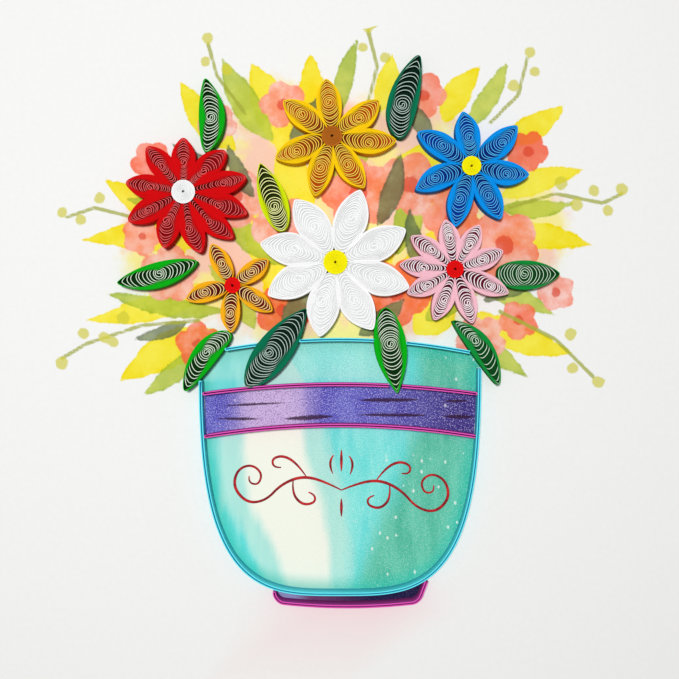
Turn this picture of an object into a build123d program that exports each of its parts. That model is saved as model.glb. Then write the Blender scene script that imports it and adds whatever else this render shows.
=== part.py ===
from build123d import *
from math import atan2, ceil, copysign, cos, degrees, hypot, radians, sin, tan
import os

# A folded greeting card that carries a bowl of flowers in quilled paper.
# Every flower and leaf is made of coils: one narrow strip of paper wound into a spiral and pinched
# at both ends. The bowl is drawn with strips that are folded double and stand on edge.
# Lengths are millimetres. The card lies flat, front upwards. The origin is under its middle, +X runs
# to the right of the picture, +Y to its top and +Z up from the front.

# Card
card_width = 150.0
card_height = 150.0
leaf_thickness = 0.4
leaf_gap = 0.4

# Paper strips
strip_height = 3.0
ply_thickness = 0.18
ply_gap = 0.12
joint_clearance = 0.15
corner_facet_angle = 30

# Coils: the turns lie close together at the sides and open out towards the pinched ends.
# Creases are angles around a coil, where 0 and 180 are its ends.
flat_side = 70
outer_creases = (-flat_side, -40, 0, 40, flat_side, 180 - flat_side, 140, 180, 220, 180 + flat_side)
first_inner_crease = 300
inner_crease_step = 60
side_wall = 0.3
side_gap = 0.05
end_wall = 0.24
tip_wall = 0.34
core_half_length = 1.3
core_half_width = 0.8
petal_inner_sharpness = 1.5
petal_outer_sharpness = 1.9
petal_belly = 0.52
petal_clearance = 0.12
petal_widest_angle = 60
roll_clearance = 0.1

# Tight rolls at the flowers' centres
roll_height = 3.0
roll_hole_radius = 0.22
roll_hole_sides = 6

# Flowers: centre, roll radius, petal width, turns, and each petal's heading, reach and lean.
# A petal's reach runs from the flower's centre to its tip. Its lean is how far the belly stands
# off the line to the tip, to the left of a viewer who looks out from the centre.
red_centre = (-32.66, 30.91)
red_roll_radius = 2.5
red_petal_width = 4.7
red_turns = 2.7
red_petals = [
    (129, 12.0, 0.0), (90, 11.2, 0.0), (44, 12.2, 0.2), (13, 13.4, -0.1), (-19, 14.0, 0.2),
    (-43, 14.1, -0.5), (-74, 13.2, -0.4), (-109, 12.4, -0.6), (-152, 13.0, 0.0), (171, 12.1, 0.1),
]

amber_centre = (-1.57, 42.52)
amber_roll_radius = 2.2
amber_petal_width = 5.0
amber_turns = 3.0
amber_petals = [
    (96, 12.0, -0.1), (37, 12.3, -0.4), (-4, 13.4, -0.5), (-58, 12.6, -0.3), (-106, 12.9, -0.4),
    (-159, 12.6, 0.2), (144, 12.5, 0.0),
]

blue_centre = (27.61, 36.33)
blue_roll_radius = 2.05
blue_petal_width = 5.0
blue_turns = 3.0
blue_petals = [
    (99, 11.4, -0.3), (41, 12.6, -0.4), (-9, 12.1, -0.4), (-61, 12.6, 0.1), (-105, 13.1, -0.4),
    (-157, 12.6, -0.5), (148, 13.2, -0.3),
]

white_centre = (-0.84, 16.17)
white_roll_radius = 2.55
white_petal_width = 6.5
white_turns = 3.5
white_petals = [
    (123, 15.5, -0.3), (71, 15.9, -0.2), (25, 16.1, -0.3), (-19, 16.2, -0.3), (-61, 16.0, -0.4),
    (-102, 15.8, -0.6), (-154, 15.6, -0.2), (166, 16.1, -0.4),
]

pink_centre = (24.15, 14.7)
pink_roll_radius = 1.85
pink_petal_width = 4.0
pink_turns = 2.7
pink_petals = [
    (101, 10.5, -0.1), (61, 10.5, -0.1), (21, 10.7, -0.2), (-24, 12.2, -0.2), (-72, 11.8, 0.2),
    (-112, 11.4, 0.2), (-153, 11.1, 0.3), (175, 11.5, 0.1), (143, 11.4, -0.2),
]

orange_centre = (-22.36, 11.34)
orange_roll_radius = 1.7
orange_petal_width = 3.9
orange_turns = 2.7
orange_petals = [
    (117, 9.6, 0.0), (36, 9.1, -0.1), (-33, 9.8, 0.1), (-92, 9.8, -0.3), (-163, 10.1, -0.3),
]

# Leaves: first tip, heading, length, width, lean, place of the belly as a share of the length,
# and how sharp the first and the far end are
leaf_turns = 3.0
leaves = {
    "leaf_upper_left": ((-28.04, 54.5), -89.2, 15.2, 5.0, 1.2, 0.52, 2.0, 1.6),
    "leaf_upper_right": ((16.6, 59.4), -104.0, 17.6, 5.9, -0.9, 0.6, 2.0, 1.2),
    "leaf_lime": ((-16.6, 36.8), -71.3, 14.8, 5.4, 0.1, 0.58, 2.0, 1.4),
    "leaf_far_left": ((-46.4, 11.8), 15.2, 17.1, 4.9, -0.6, 0.5, 1.8, 1.7),
    "leaf_far_right": ((46.0, 13.7), 180.0, 12.8, 5.7, 0.2, 0.57, 1.8, 0.8),
    "leaf_rim_left": ((-32.4, -10.7), 52.7, 15.3, 4.7, 1.2, 0.58, 1.8, 1.0),
    "leaf_rim_dark": ((-7.0, 6.4), -127.4, 20.5, 6.8, 0.0, 0.57, 2.0, 1.5),
    "leaf_rim_middle": ((9.5, 6.6), -81.7, 17.9, 6.3, 0.0, 0.45, 1.4, 2.0),
    "leaf_rim_right": ((23.84, 3.9), -54.4, 16.3, 4.2, 1.5, 0.47, 1.9, 1.8),
}

# Bowl: half a superellipse, a little fuller on its right, drawn by one strip from its left wall
# round to its right wall
bowl_half_width = 29.35
bowl_depth = 46.8
bowl_middle = 0.1
bowl_top = -6.5
bowl_left_power = 3.2
bowl_right_power = 3.3
bowl_left_start = 2.2
bowl_right_start = 0.0
bowl_facets = 24

# Rim: three strips along one shallow curve, between the leaves that hang over it
rim_top = 0.0
rim_sag = 0.0036
rim_facets = 2
rim_spans = {
    "rim_strip_left": (-23.7, -18.7),
    "rim_strip_middle": (-8.1, 7.2),
    "rim_strip_right": (14.4, 27.1),
}

# Band: a strip along its top edge, cut by a leaf's tip, and one along its lower edge
band_top_middle = -9.4
band_top_sag = 0.0024
band_cut = (10.3, 13.1)
band_lower_middle = -18.0
band_lower_sag = 0.0029
band_facets = 6
fit_rounds = 8

# Foot: a shallow strip under the bowl
foot_left = -13.7
foot_right = 18.2
foot_depth = 2.6
foot_bow = 0.9
foot_left_slant = 0.4
foot_right_slant = 1.6
foot_corner = 1.6
foot_facets = 5

card_top = 2 * leaf_thickness + leaf_gap
strip_width = 2 * ply_thickness + ply_gap
strip_half = strip_width / 2
bowl_bottom = bowl_top - bowl_depth


def write(name, shape, label=None):
    """Write one sub-part to its own file."""
    shape.label = label or name
    export_step(shape, os.path.join("parts", name + ".step"))


def folded_card():
    """One sheet folded along its left edge into two leaves that lie a little apart."""
    outer_radius = card_top / 2
    inner_radius = leaf_gap / 2
    left = -card_width / 2 + outer_radius
    right = card_width / 2
    with BuildSketch(Plane.XZ.offset(-card_height / 2)) as section:
        with BuildLine():
            Line((left, 0), (right, 0))
            Line((right, 0), (right, leaf_thickness))
            Line((right, leaf_thickness), (left, leaf_thickness))
            ThreePointArc(
                (left, leaf_thickness),
                (left - inner_radius, outer_radius),
                (left, card_top - leaf_thickness),
            )
            Line((left, card_top - leaf_thickness), (right, card_top - leaf_thickness))
            Line((right, card_top - leaf_thickness), (right, card_top))
            Line((right, card_top), (left, card_top))
            ThreePointArc((left, card_top), (left - outer_radius, outer_radius), (left, 0))
        make_face()
    return extrude(section.sketch, card_height)


def crease_places(turns):
    """Angle and turn number of each crease, from the strip's outer end to its heart."""
    places = [(angle, 0) for angle in outer_creases]
    in_a_turn = 360 // inner_crease_step
    for step in range(round(in_a_turn * (turns - 1))):
        places.append((first_inner_crease + inner_crease_step * step, 1 + step // in_a_turn))
    return places


def room_inside(line, x, side, middle):
    """How far from the coil's middle line the turns outside it leave room."""
    room = card_width
    for (x1, y1), (x2, y2) in zip(line, line[1:]):
        if x1 != x2 and min(x1, x2) <= x <= max(x1, x2):
            height = side * (y1 + (y2 - y1) * (x - x1) / (x2 - x1) - middle)
            if height > 0:
                room = min(room, height)
    return room


def coil_outline(length, width, lean, turns, belly_share, sharpness, room=None):
    """Corners of the spiral strip seen from above, with its first end at 0 on the X axis.

    room gives, for a place along the coil and a side, how far from the axis the coil may reach.
    """
    belly = belly_share * length
    reach = {1: length - belly, -1: belly}
    inner_turns = ceil(turns) - 1
    full_half = width / 2
    outside = []
    inside = []
    for angle, turn in crease_places(turns):
        run = abs(cos(radians(angle)))
        rise = abs(sin(radians(angle)))
        along = copysign(1, cos(radians(angle)))
        side = copysign(1, sin(radians(angle)))
        share = min(1, turn / inner_turns)
        end = reach[along] + (core_half_length - reach[along]) * share
        x = belly + along * end * run
        middle = lean * (1 - ((x - belly) / reach[along]) ** 2)
        out = 0
        if angle % 180:
            if turn == 0:
                out = full_half * (rise / sin(radians(flat_side))) ** sharpness[along > 0]
            else:
                out = max(full_half - turn * (side_wall + side_gap), core_half_width)
            out = min(out, room_inside(inside[:-1], x, side, middle) - side_gap)
            if room:
                out = min(out, room(x, side) - side * middle)
        outside.append((x, middle + side * out))
        wall = end_wall if turn else tip_wall
        x = belly + along * (end - wall) * run
        inside.append((x, middle + side * max(0, out - side_wall * rise)))
    return outside + inside[::-1]


def coil(corners, origin, heading):
    """The strip at its place on the card, standing on edge."""
    turned = []
    for x, y in corners:
        bearing = atan2(y, x) + radians(heading)
        distance = hypot(x, y)
        turned.append((origin[0] + distance * cos(bearing), origin[1] + distance * sin(bearing)))
    with BuildSketch(Plane.XY.offset(card_top)) as section:
        with BuildLine():
            Polyline(turned, close=True)
        make_face()
    return extrude(section.sketch, strip_height)


def petal_bearing(petal, roll_radius):
    """Direction in which a petal's belly lies, as seen from the flower's centre."""
    heading, reach, lean = petal
    start = roll_radius + roll_clearance
    return heading + degrees(atan2(lean, start + petal_belly * (reach - start)))


def flower_petals(centre, roll_radius, width, turns, petals):
    """All petals of one flower, each flattened where it meets the petal beside it."""
    start = roll_radius + roll_clearance
    around = sorted(petals, key=lambda petal: petal_bearing(petal, roll_radius))
    solids = []
    for petal in petals:
        place = around.index(petal)
        own = petal_bearing(petal, roll_radius)
        after = petal_bearing(around[(place + 1) % len(around)], roll_radius)
        before = petal_bearing(around[place - 1], roll_radius)
        heading, reach, lean = petal
        left_edge = own - heading + ((after - own) % 360) / 2
        right_edge = heading - own + ((own - before) % 360) / 2

        def room(x, side, left_edge=left_edge, right_edge=right_edge):
            edge = radians(min(petal_widest_angle, left_edge if side > 0 else right_edge))
            return (start + x) * tan(edge) - petal_clearance / 2 / cos(edge)

        ends = (petal_inner_sharpness, petal_outer_sharpness)
        corners = coil_outline(reach - start, width, lean, turns, petal_belly, ends, room)
        shifted = [(start + x, y) for x, y in corners]
        solids.append(coil(shifted, centre, heading))
    return solids


def centre_roll(centre, radius):
    """A strip rolled up tight: a flat disc with a pinhole in its middle."""
    with BuildSketch(Plane.XY.offset(card_top)) as section:
        with Locations(centre):
            Circle(radius)
            RegularPolygon(roll_hole_radius, roll_hole_sides, mode=Mode.SUBTRACT)
    return extrude(section.sketch, roll_height)


def offset_point(before, here, after, distance):
    """The point beside a corner of a path, at the given distance from both of its runs."""
    first = atan2(here[1] - before[1], here[0] - before[0])
    second = atan2(after[1] - here[1], after[0] - here[0])
    half_turn = (second - first) / 2
    bearing = first + half_turn + radians(90)
    return (
        here[0] + distance / cos(half_turn) * cos(bearing),
        here[1] + distance / cos(half_turn) * sin(bearing),
    )


def beside(path, distance):
    """The path moved sideways, to its left for a positive distance."""
    first = (2 * path[0][0] - path[1][0], 2 * path[0][1] - path[1][1])
    last = (2 * path[-1][0] - path[-2][0], 2 * path[-1][1] - path[-2][1])
    points = [first, *path, last]
    return [
        offset_point(points[index - 1], points[index], points[index + 1], distance)
        for index in range(1, len(points) - 1)
    ]


def along_from(point, towards, distance):
    """The point at a distance from one point, on the way to another."""
    bearing = atan2(towards[1] - point[1], towards[0] - point[0])
    return (point[0] + distance * cos(bearing), point[1] + distance * sin(bearing))


def folded_strip(path):
    """A strip folded double along a path: two plies, joined round one end and open at the other."""
    slit_start = along_from(path[0], path[1], ply_thickness)
    slit = [slit_start, *path[1:]]
    nose = (1 - 0.5**0.5) * strip_half
    ends = [along_from(path[0], path[1], nose)]
    corner_left = beside(path, strip_half - nose)[0]
    corner_right = beside(path, nose - strip_half)[0]
    outer_left = beside([*ends, *path[1:]], strip_half)
    outer_right = beside([*ends, *path[1:]], -strip_half)
    inner_left = beside(slit, ply_gap / 2)
    inner_right = beside(slit, -ply_gap / 2)
    left_ply = [corner_left, *outer_left, *inner_left[::-1]]
    right_ply = [*inner_right, *outer_right[::-1], corner_right]
    with BuildSketch(Plane.XY.offset(card_top)) as section:
        with BuildLine():
            Polyline(left_ply + right_ply, close=True)
        make_face()
    return extrude(section.sketch, strip_height)


def bowl_half(height, power):
    """Half the bowl's width at a height above its lowest point, for the power of one side."""
    drop = max(0, 1 - height / bowl_depth)
    return bowl_half_width * (1 - drop**power) ** (1 / power)


def bowl_height(offset):
    """Height of the bowl's outline above its lowest point, at a distance right of its middle."""
    power = bowl_right_power if offset > 0 else bowl_left_power
    return bowl_depth * (1 - (1 - (abs(offset) / bowl_half_width) ** power) ** (1 / power))


def bowl_path():
    """From the left wall's top, down, along the bottom and up to the right wall's top."""
    left_top = bowl_depth - bowl_left_start
    right_top = bowl_depth - bowl_right_start
    path = [(bowl_middle - bowl_half(left_top, bowl_left_power), bowl_bottom + left_top)]
    for step in range(1, bowl_facets):
        angle = radians(180 * step / bowl_facets)
        right = angle > radians(90)
        power = bowl_right_power if right else bowl_left_power
        x = copysign(abs(cos(angle)) ** (2 / power), -cos(angle)) * bowl_half_width
        height = bowl_depth * (1 - sin(angle) ** (2 / power))
        if height < (right_top if right else left_top) - strip_width:
            path.append((bowl_middle + x, bowl_bottom + height))
    path.append((bowl_middle + bowl_half(right_top, bowl_right_power), bowl_bottom + right_top))
    return path


def curve_between(start, end, middle, sag, facets):
    """A shallow curve that falls away on both sides of the bowl's middle."""
    path = []
    for step in range(facets + 1):
        x = start + (end - start) * step / facets
        path.append((x, middle - sag * (x - bowl_middle) ** 2))
    return path


def wall_to_wall(middle, sag):
    """Where a strip across the bowl ends on the left and on the right, clear of the walls."""
    ends = []
    for power in (bowl_left_power, bowl_right_power):
        half = bowl_half_width
        for _ in range(fit_rounds):
            height = middle - sag * half**2 - bowl_bottom
            half = bowl_half(height, power) - strip_half - joint_clearance
        ends.append(half)
    return bowl_middle - ends[0], bowl_middle + ends[1]


def rounded(points, radius):
    """A path whose sharp corners are arcs of one radius, in short straight facets."""
    path = [points[0]]
    for before, corner, after in zip(points, points[1:], points[2:]):
        into = atan2(corner[1] - before[1], corner[0] - before[0])
        out_of = atan2(after[1] - corner[1], after[0] - corner[0])
        turn = out_of - into
        if abs(degrees(turn)) < corner_facet_angle:
            path.append(corner)
            continue
        setback = radius * tan(abs(turn) / 2)
        start = along_from(corner, before, setback)
        facets = max(1, ceil(abs(degrees(turn)) / corner_facet_angle))
        side = copysign(1, turn)
        centre_x = start[0] - side * radius * sin(into)
        centre_y = start[1] + side * radius * cos(into)
        for step in range(facets + 1):
            bearing = into + turn * step / facets
            x = centre_x + side * radius * sin(bearing)
            path.append((x, centre_y - side * radius * cos(bearing)))
    return [*path, points[-1]]


def foot_path():
    """Down from the bowl at the left, along the bottom and up to the bowl at the right."""
    gap = strip_width + joint_clearance
    left_top = bowl_bottom + bowl_height(foot_left - bowl_middle) - gap
    right_top = bowl_bottom + bowl_height(foot_right - bowl_middle) - gap
    low_left = foot_left + foot_left_slant
    low_width = foot_right - foot_right_slant - low_left
    corners = [(foot_left, left_top)]
    for step in range(foot_facets + 1):
        share = step / foot_facets
        rise = foot_bow * (2 * share - 1) ** 2
        corners.append((low_left + low_width * share, bowl_bottom - foot_depth + rise))
    corners.append((foot_right, right_top))
    return rounded(corners, foot_corner)


os.makedirs("parts", exist_ok=True)

write("card", folded_card())

red_solids = flower_petals(red_centre, red_roll_radius, red_petal_width, red_turns, red_petals)
write("red_petals", Compound(red_solids))

flowers = {
    "amber": (amber_centre, amber_roll_radius, amber_petal_width, amber_turns, amber_petals),
    "blue": (blue_centre, blue_roll_radius, blue_petal_width, blue_turns, blue_petals),
    "white": (white_centre, white_roll_radius, white_petal_width, white_turns, white_petals),
    "pink": (pink_centre, pink_roll_radius, pink_petal_width, pink_turns, pink_petals),
    "orange": (orange_centre, orange_roll_radius, orange_petal_width, orange_turns, orange_petals),
}
for colour, flower in flowers.items():
    for number, petal in enumerate(flower_petals(*flower), 1):
        write(f"{colour}_petal_{number}", petal)
    write(f"{colour}_flower_centre", centre_roll(flower[0], flower[1]))
write("red_flower_centre", centre_roll(red_centre, red_roll_radius))

for name, (tip, heading, length, width, lean, belly, near, far) in leaves.items():
    outline = coil_outline(length, width, lean, leaf_turns, belly, (near, far))
    write(name, coil(outline, tip, heading))

write("bowl_strip", folded_strip(bowl_path()))
for name, (start, end) in rim_spans.items():
    write(name, folded_strip(curve_between(start, end, rim_top, rim_sag, rim_facets)))
band_left, band_right = wall_to_wall(band_top_middle, band_top_sag)
band_pieces = [
    folded_strip(curve_between(band_left, band_cut[0], band_top_middle, band_top_sag, band_facets)),
    folded_strip(curve_between(band_right, band_cut[1], band_top_middle, band_top_sag, band_facets)),
]
write("band_strips_upper", Compound(band_pieces))
lower_left, lower_right = wall_to_wall(band_lower_middle, band_lower_sag)
write(
    "band_strip_lower",
    folded_strip(curve_between(lower_left, lower_right, band_lower_middle, band_lower_sag, band_facets)),
)
write("foot_strip", folded_strip(foot_path()))
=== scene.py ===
from math import atan2, cos, degrees, hypot, pi, radians, sin, sqrt, tan

import bpy
from bpy.props import FloatProperty, FloatVectorProperty, PointerProperty
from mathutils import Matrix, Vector


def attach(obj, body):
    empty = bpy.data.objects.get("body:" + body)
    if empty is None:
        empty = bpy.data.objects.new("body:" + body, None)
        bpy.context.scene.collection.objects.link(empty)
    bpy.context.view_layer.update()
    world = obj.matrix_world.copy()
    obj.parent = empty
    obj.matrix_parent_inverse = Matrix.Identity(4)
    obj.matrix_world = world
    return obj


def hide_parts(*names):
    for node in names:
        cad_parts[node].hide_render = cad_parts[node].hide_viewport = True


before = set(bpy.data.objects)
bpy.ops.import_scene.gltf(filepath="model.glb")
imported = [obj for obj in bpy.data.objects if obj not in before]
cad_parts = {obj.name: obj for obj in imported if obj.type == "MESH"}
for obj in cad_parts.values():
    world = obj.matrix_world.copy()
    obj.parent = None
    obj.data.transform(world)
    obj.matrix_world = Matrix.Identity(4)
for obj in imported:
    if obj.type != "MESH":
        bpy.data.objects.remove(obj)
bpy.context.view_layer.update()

bl_info = {
    "name": "Quilled bowl of flowers",
    "version": (1, 0, 0),
    "blender": (4, 5, 0),
    "location": "View3D > Sidebar > Quilling",
    "description": "A greeting card that carries a bowl of flowers in quilled paper",
    "category": "Add Mesh",
}

# Lengths in the tables are millimetres, with the origin under the card's middle, +X to the right of
# the picture, +Y to its top and +Z up from the front. MM turns them into metres, and CARD_TOP is the
# height of the card's front.
MM = 0.001
CARD_TOP = 1.2

# What the paper's finish reads at each place of a strip, and the inside mark of a fold's fill,
# which the finish paints in shade
SHARES = ("inside", "open", "layer", "dusk")
SHADE_FILL = 2.0

# How a coil is wound, unless its flower or leaf says otherwise: turns, pitch of the turns that lie
# together, turns that are packed at the near and the far end, how late the slack opens, how the turns
# gather round the heart, how round the open turns' ends are and after how many turns, how blunt the
# two tips are, the radius of the ring round the heart, how thick the open turns stand, how high a
# floor in painted shade closes the gaps, and how much darker the painted shade in the gaps is at the
# near end.
COIL_FORM = {
    "turns": 10, "pitch": 0.14, "packed": (0, 1), "spread": 6.0, "gather": 1.1, "roundness": 0.9,
    "chevrons": 1.5, "blunt": (0.15, 0.15), "core": 0.7, "arc": 0.19, "floor": 2.3, "dusk": 1.0,
}
# Steps in a turn, how unevenly a strip's edge stands, how much lower the inner turns stand, and the
# hook's width as a share of the ring round the heart
COIL_STEPS = 48
COIL_WOBBLE = 0.03
COIL_SINK = 0.12
HOOK_SHARE = 0.66
# The gap past its pitch at which a turn's edge starts to stand free, and over which it comes free
FREE_FROM = 0.04
FREE_OVER = 0.25
# The least gap between turns as a share of their pitch, how far a packed turn's tip lies inside the
# tip of the turn around it in gaps, how much a pointed turn is widened before its bound holds it, the
# most that a steep outline widens the gaps, and how far the tone's wave runs on from turn to turn
LEAST_GAP = 0.2
TIP_STEP = 1.3
SWELL = 1.12
STEEP_GAP = 1.6
TONE_RUN = 12.9

# Flowers: centre, roll radius, petal width, how sharp the petals' inner ends are, how far they reach
# under the roll, how their coils are wound, and each petal's heading, reach, lean, and its heart
# along and beside the heading.
FLOWERS = {
    "red": {
        "centre": (-32.66, 30.91), "roll": 2.5, "width": 5.0, "near": 1.3, "tuck": 0.4,
        "pitch": 0.15, "packed": (1, 3), "blunt": (0.15, 0.3), "arc": 0.135, "floor": 2.4,
        "petals": [
            (129, 12.0, 0.0, 7.1, 0.3), (90, 11.2, 0.0, 6.2, 0.0), (44, 12.2, 0.2, 6.1, 0.2),
            (13, 13.4, -0.1, 8.6, -0.1), (-19, 14.0, 0.2, 7.9, -0.3), (-43, 14.1, -0.5, 8.2, -0.8),
            (-74, 13.2, -0.4, 7.7, -1.1), (-109, 12.4, -0.6, 6.9, -1.4), (-152, 13.0, 0.0, 8.3, -0.1),
            (171, 12.1, 0.1, 7.0, 0.1),
        ],
    },
    "amber": {
        "centre": (-1.57, 42.52), "roll": 2.2, "width": 5.2, "near": 1.1, "tuck": 0.5,
        "turns": 9, "pitch": 0.135, "core": 0.72, "arc": 0.17, "floor": 2.65,
        "petals": [
            (96, 12.0, -0.1, 7.2, -0.1), (37, 12.3, -0.4, 6.8, -0.4), (-4, 13.4, -0.5, 7.8, -0.9),
            (-58, 12.6, -0.3, 6.8, -0.3), (-106, 12.9, -0.4, 6.9, -0.6), (-159, 12.6, 0.2, 8.0, 0.3),
            (144, 12.5, 0.0, 7.8, 0.0),
        ],
    },
    "blue": {
        "centre": (27.61, 36.33), "roll": 2.05, "width": 5.0, "near": 1.1, "tuck": 0.5,
        "turns": 9, "pitch": 0.145, "packed": (0, 2), "arc": 0.15, "floor": 2.5,
        "petals": [
            (99, 11.4, -0.3, 6.0, -0.5), (41, 12.6, -0.4, 8.0, -0.7), (-9, 12.1, -0.4, 7.5, -0.6),
            (-61, 12.6, 0.1, 7.2, 0.1), (-105, 13.1, -0.4, 7.2, -0.7), (-157, 12.6, -0.5, 7.9, -0.7),
            (148, 13.2, -0.3, 7.4, -0.4),
        ],
    },
    "white": {
        "centre": (-0.84, 16.17), "roll": 2.55, "width": 6.8, "near": 1.2, "tuck": 0.3,
        "turns": 9, "pitch": 0.2, "spread": 2.0, "roundness": 1.1, "chevrons": 2.0, "core": 1.0,
        "arc": 0.27, "floor": 2.7, "dusk": 0.1,
        "petals": [
            (123, 15.5, -0.3, 8.6, -0.4), (71, 15.9, -0.2, 9.8, -0.3), (25, 16.1, -0.3, 8.8, -0.3),
            (-19, 16.2, -0.3, 9.8, -0.5), (-61, 16.0, -0.4, 8.8, -0.4), (-102, 15.8, -0.6, 8.5, -1.1),
            (-154, 15.6, -0.2, 8.7, -0.1), (166, 16.1, -0.4, 9.1, -0.4),
        ],
    },
    "pink": {
        "centre": (24.15, 14.7), "roll": 1.85, "width": 4.3, "near": 1.2, "tuck": 0.4,
        "turns": 8, "pitch": 0.135, "arc": 0.21, "floor": 2.4,
        "petals": [
            (101, 10.5, -0.1, 6.7, -0.1), (61, 10.5, -0.1, 6.0, -0.2), (21, 10.7, -0.2, 6.1, -0.2),
            (-24, 12.2, -0.2, 8.0, -0.2), (-72, 11.8, 0.2, 7.5, 0.3), (-112, 11.4, 0.2, 6.8, 0.4),
            (-153, 11.1, 0.3, 6.7, 0.5), (175, 11.5, 0.1, 6.6, 0.3), (143, 11.4, -0.2, 6.4, -0.3),
        ],
    },
    "orange": {
        "centre": (-22.36, 11.34), "roll": 1.7, "width": 3.95, "near": 1.1, "tuck": 0.5,
        "turns": 6, "pitch": 0.172, "arc": 0.17, "floor": 2.4,
        "petals": [
            (117, 9.6, 0.0, 5.1, 0.0), (36, 9.1, -0.1, 4.9, 0.0), (-33, 9.8, 0.1, 5.5, 0.4),
            (-92, 9.8, -0.3, 5.8, -0.4), (-163, 10.1, -0.3, 6.0, -0.4),
        ],
    },
}
PETAL_BELLY = 0.52
PETAL_FAR_POWER = 1.8
PETAL_WIDEST_ANGLE = 60

# Tight rolls: colours, pitch of the turns, radius of the hole, how far they stand above the petals,
# how much further their middle does, and how high a floor in painted shade closes their gaps
ROLL_COLOURS = {
    "red": "white", "amber": "brown", "blue": "yellow", "white": "yellow", "pink": "crimson",
    "orange": "crimson",
}
ROLL_PITCH = 0.3
ROLL_HOLE = 0.3
ROLL_RISE = 0.15
ROLL_CROWN = 0.12
ROLL_FLOOR = 3.08

# Leaves: first tip, heading, length, width, lean, belly as a share of the length, how sharp the first
# and the far end are, and the heart along and beside the heading.
LEAVES = {
    "leaf_upper_left": ((-28.04, 54.5), -89.2, 15.2, 5.3, 1.2, 0.52, 1.9, 1.5, 8.0, 0.9),
    "leaf_upper_right": ((16.6, 59.4), -104.0, 17.6, 6.2, -0.9, 0.6, 1.9, 1.1, 10.8, -0.9),
    "leaf_lime": ((-16.6, 36.8), -71.3, 14.8, 5.7, 0.1, 0.58, 1.9, 1.3, 9.4, -0.1),
    "leaf_far_left": ((-46.4, 11.8), 15.2, 17.1, 5.2, -0.6, 0.5, 1.7, 1.6, 8.9, -0.3),
    "leaf_far_right": ((46.0, 13.7), 180.0, 12.8, 6.0, 0.2, 0.57, 1.7, 0.8, 7.3, -0.1),
    "leaf_rim_left": ((-32.4, -10.7), 52.7, 15.3, 5.0, 1.2, 0.58, 1.7, 1.0, 9.1, 1.2),
    "leaf_rim_dark": ((-7.0, 6.4), -127.4, 20.5, 7.2, 0.0, 0.57, 1.9, 1.4, 11.9, -0.7),
    "leaf_rim_middle": ((9.5, 6.6), -81.7, 17.9, 6.6, 0.0, 0.45, 1.4, 2.3, 7.6, 0.1),
    "leaf_rim_right": ((23.84, 3.9), -54.4, 16.3, 4.5, 1.5, 0.47, 1.8, 1.7, 6.1, 1.4),
}
LEAF_FORM = {"gather": 1.25, "chevrons": 2.0, "core": 0.8, "arc": 0.155, "floor": 2.0, "dusk": 0.0}
LEAF_FORMS = {
    "leaf_upper_left": {"blunt": (0.25, 0.3)},
    "leaf_upper_right": {"blunt": (0.35, 0.2)},
    "leaf_lime": {"blunt": (0.1, 0.35), "pitch": 0.13},
    "leaf_far_right": {"turns": 9, "pitch": 0.12, "arc": 0.135},
    "leaf_rim_left": {"blunt": (0.25, 0.2)},
    "leaf_rim_dark": {"turns": 13, "pitch": 0.132},
    "leaf_rim_middle": {"turns": 12, "pitch": 0.132, "blunt": (0.25, 0.2)},
    "leaf_rim_right": {"turns": 9, "pitch": 0.13, "blunt": (0.15, 0.3)},
}
LEAF_COLOURS = {
    "leaf_upper_right": "dark_green", "leaf_rim_dark": "dark_green", "leaf_lime": "lime",
    "leaf_far_right": "shade_green", "leaf_rim_right": "shade_green",
}

# Bowl: half a superellipse, whose walls end at a height on the left and one on the right. Above them
# the print reaches a little past the walls' line. The rim and the band fall away on both sides of
# the middle, and the foot bows down between its corners.
BOWL_HALF_WIDTH = 29.3
BOWL_MIDDLE = 0.1
BOWL_SHOULDER = 4.0
BOWL_BOTTOM = -53.3
BOWL_DEPTH = BOWL_SHOULDER - BOWL_BOTTOM
BOWL_POWER = 3.45
WALL_TOPS = (-8.7, -6.1)
ABOVE_WALL = 0.8
RIM_TOP = 0.0
RIM_SAG = 0.0036
RIM_SPANS = {
    "rim_strip_left": (-23.9, -17.2),
    "rim_strip_middle": (-8.35, 7.4),
    "rim_strip_right": (13.95, 27.3),
}
BAND_TOP = -9.4
BAND_TOP_SAG = 0.0024
BAND_CUT = (10.3, 13.1)
BAND_LOW = -18.0
BAND_LOW_SAG = 0.0029
FOOT_LEFT = -13.7
FOOT_RIGHT = 18.2
FOOT_DEPTH = 2.6
FOOT_BOW = 0.9
FOOT_LEFT_SLANT = 0.4
FOOT_RIGHT_SLANT = 1.6
FOOT_CORNER = 2.1
FOOT_PRINT_INSET = 0.3
# Half a strip's width, and the gap that strips keep where they meet
STRIP_HALF = 0.24
JOINT_GAP = 0.3

# Folded strips: how far they stay under their full height, how unevenly their edges stand, how far
# under the edges the fill in each fold lies, whose top is painted shade, and the distance between the
# places along an arch
FOLD_LOW = 0.05
FOLD_WOBBLE = 0.02
CYAN_FOLD = 0.3
MAGENTA_FOLD = 0.6
ARCH_PACE = 1.2

# The gloss that every finish has, and the angle below which a piece's faces are shaded as one
GLOSS = 0.12
SMOOTH_ANGLE = 35

# Floor, light and camera, in metres, watts and degrees
FLOOR_SIZE = 3
FLOOR_HEIGHT = -0.0005
WORLD_LIGHT = 0.26
WINDOW_PLACE = (-0.055, 0.068, 0.5)
WINDOW_SIZE = 0.06
WINDOW_POWER = 1.86
CAMERA_HEIGHT = 0.1812
CAMERA_ANGLE = 43.7


def screen(red, green, blue):
    """A colour as a screen shows it, from 0 to 255, in the renderer's own values."""
    values = []
    for part in (red, green, blue):
        share = part / 255
        values.append(share / 12.92 if share <= 0.04045 else ((share + 0.055) / 1.055) ** 2.4)
    return tuple(values)


def between(start, end, share):
    return start + (end - start) * share


def clamp(value, low=0.0, high=1.0):
    return max(low, min(high, value))


def smooth_share(value, low, high):
    share = clamp((value - low) / (high - low))
    return share * share * (3 - 2 * share)


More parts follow.
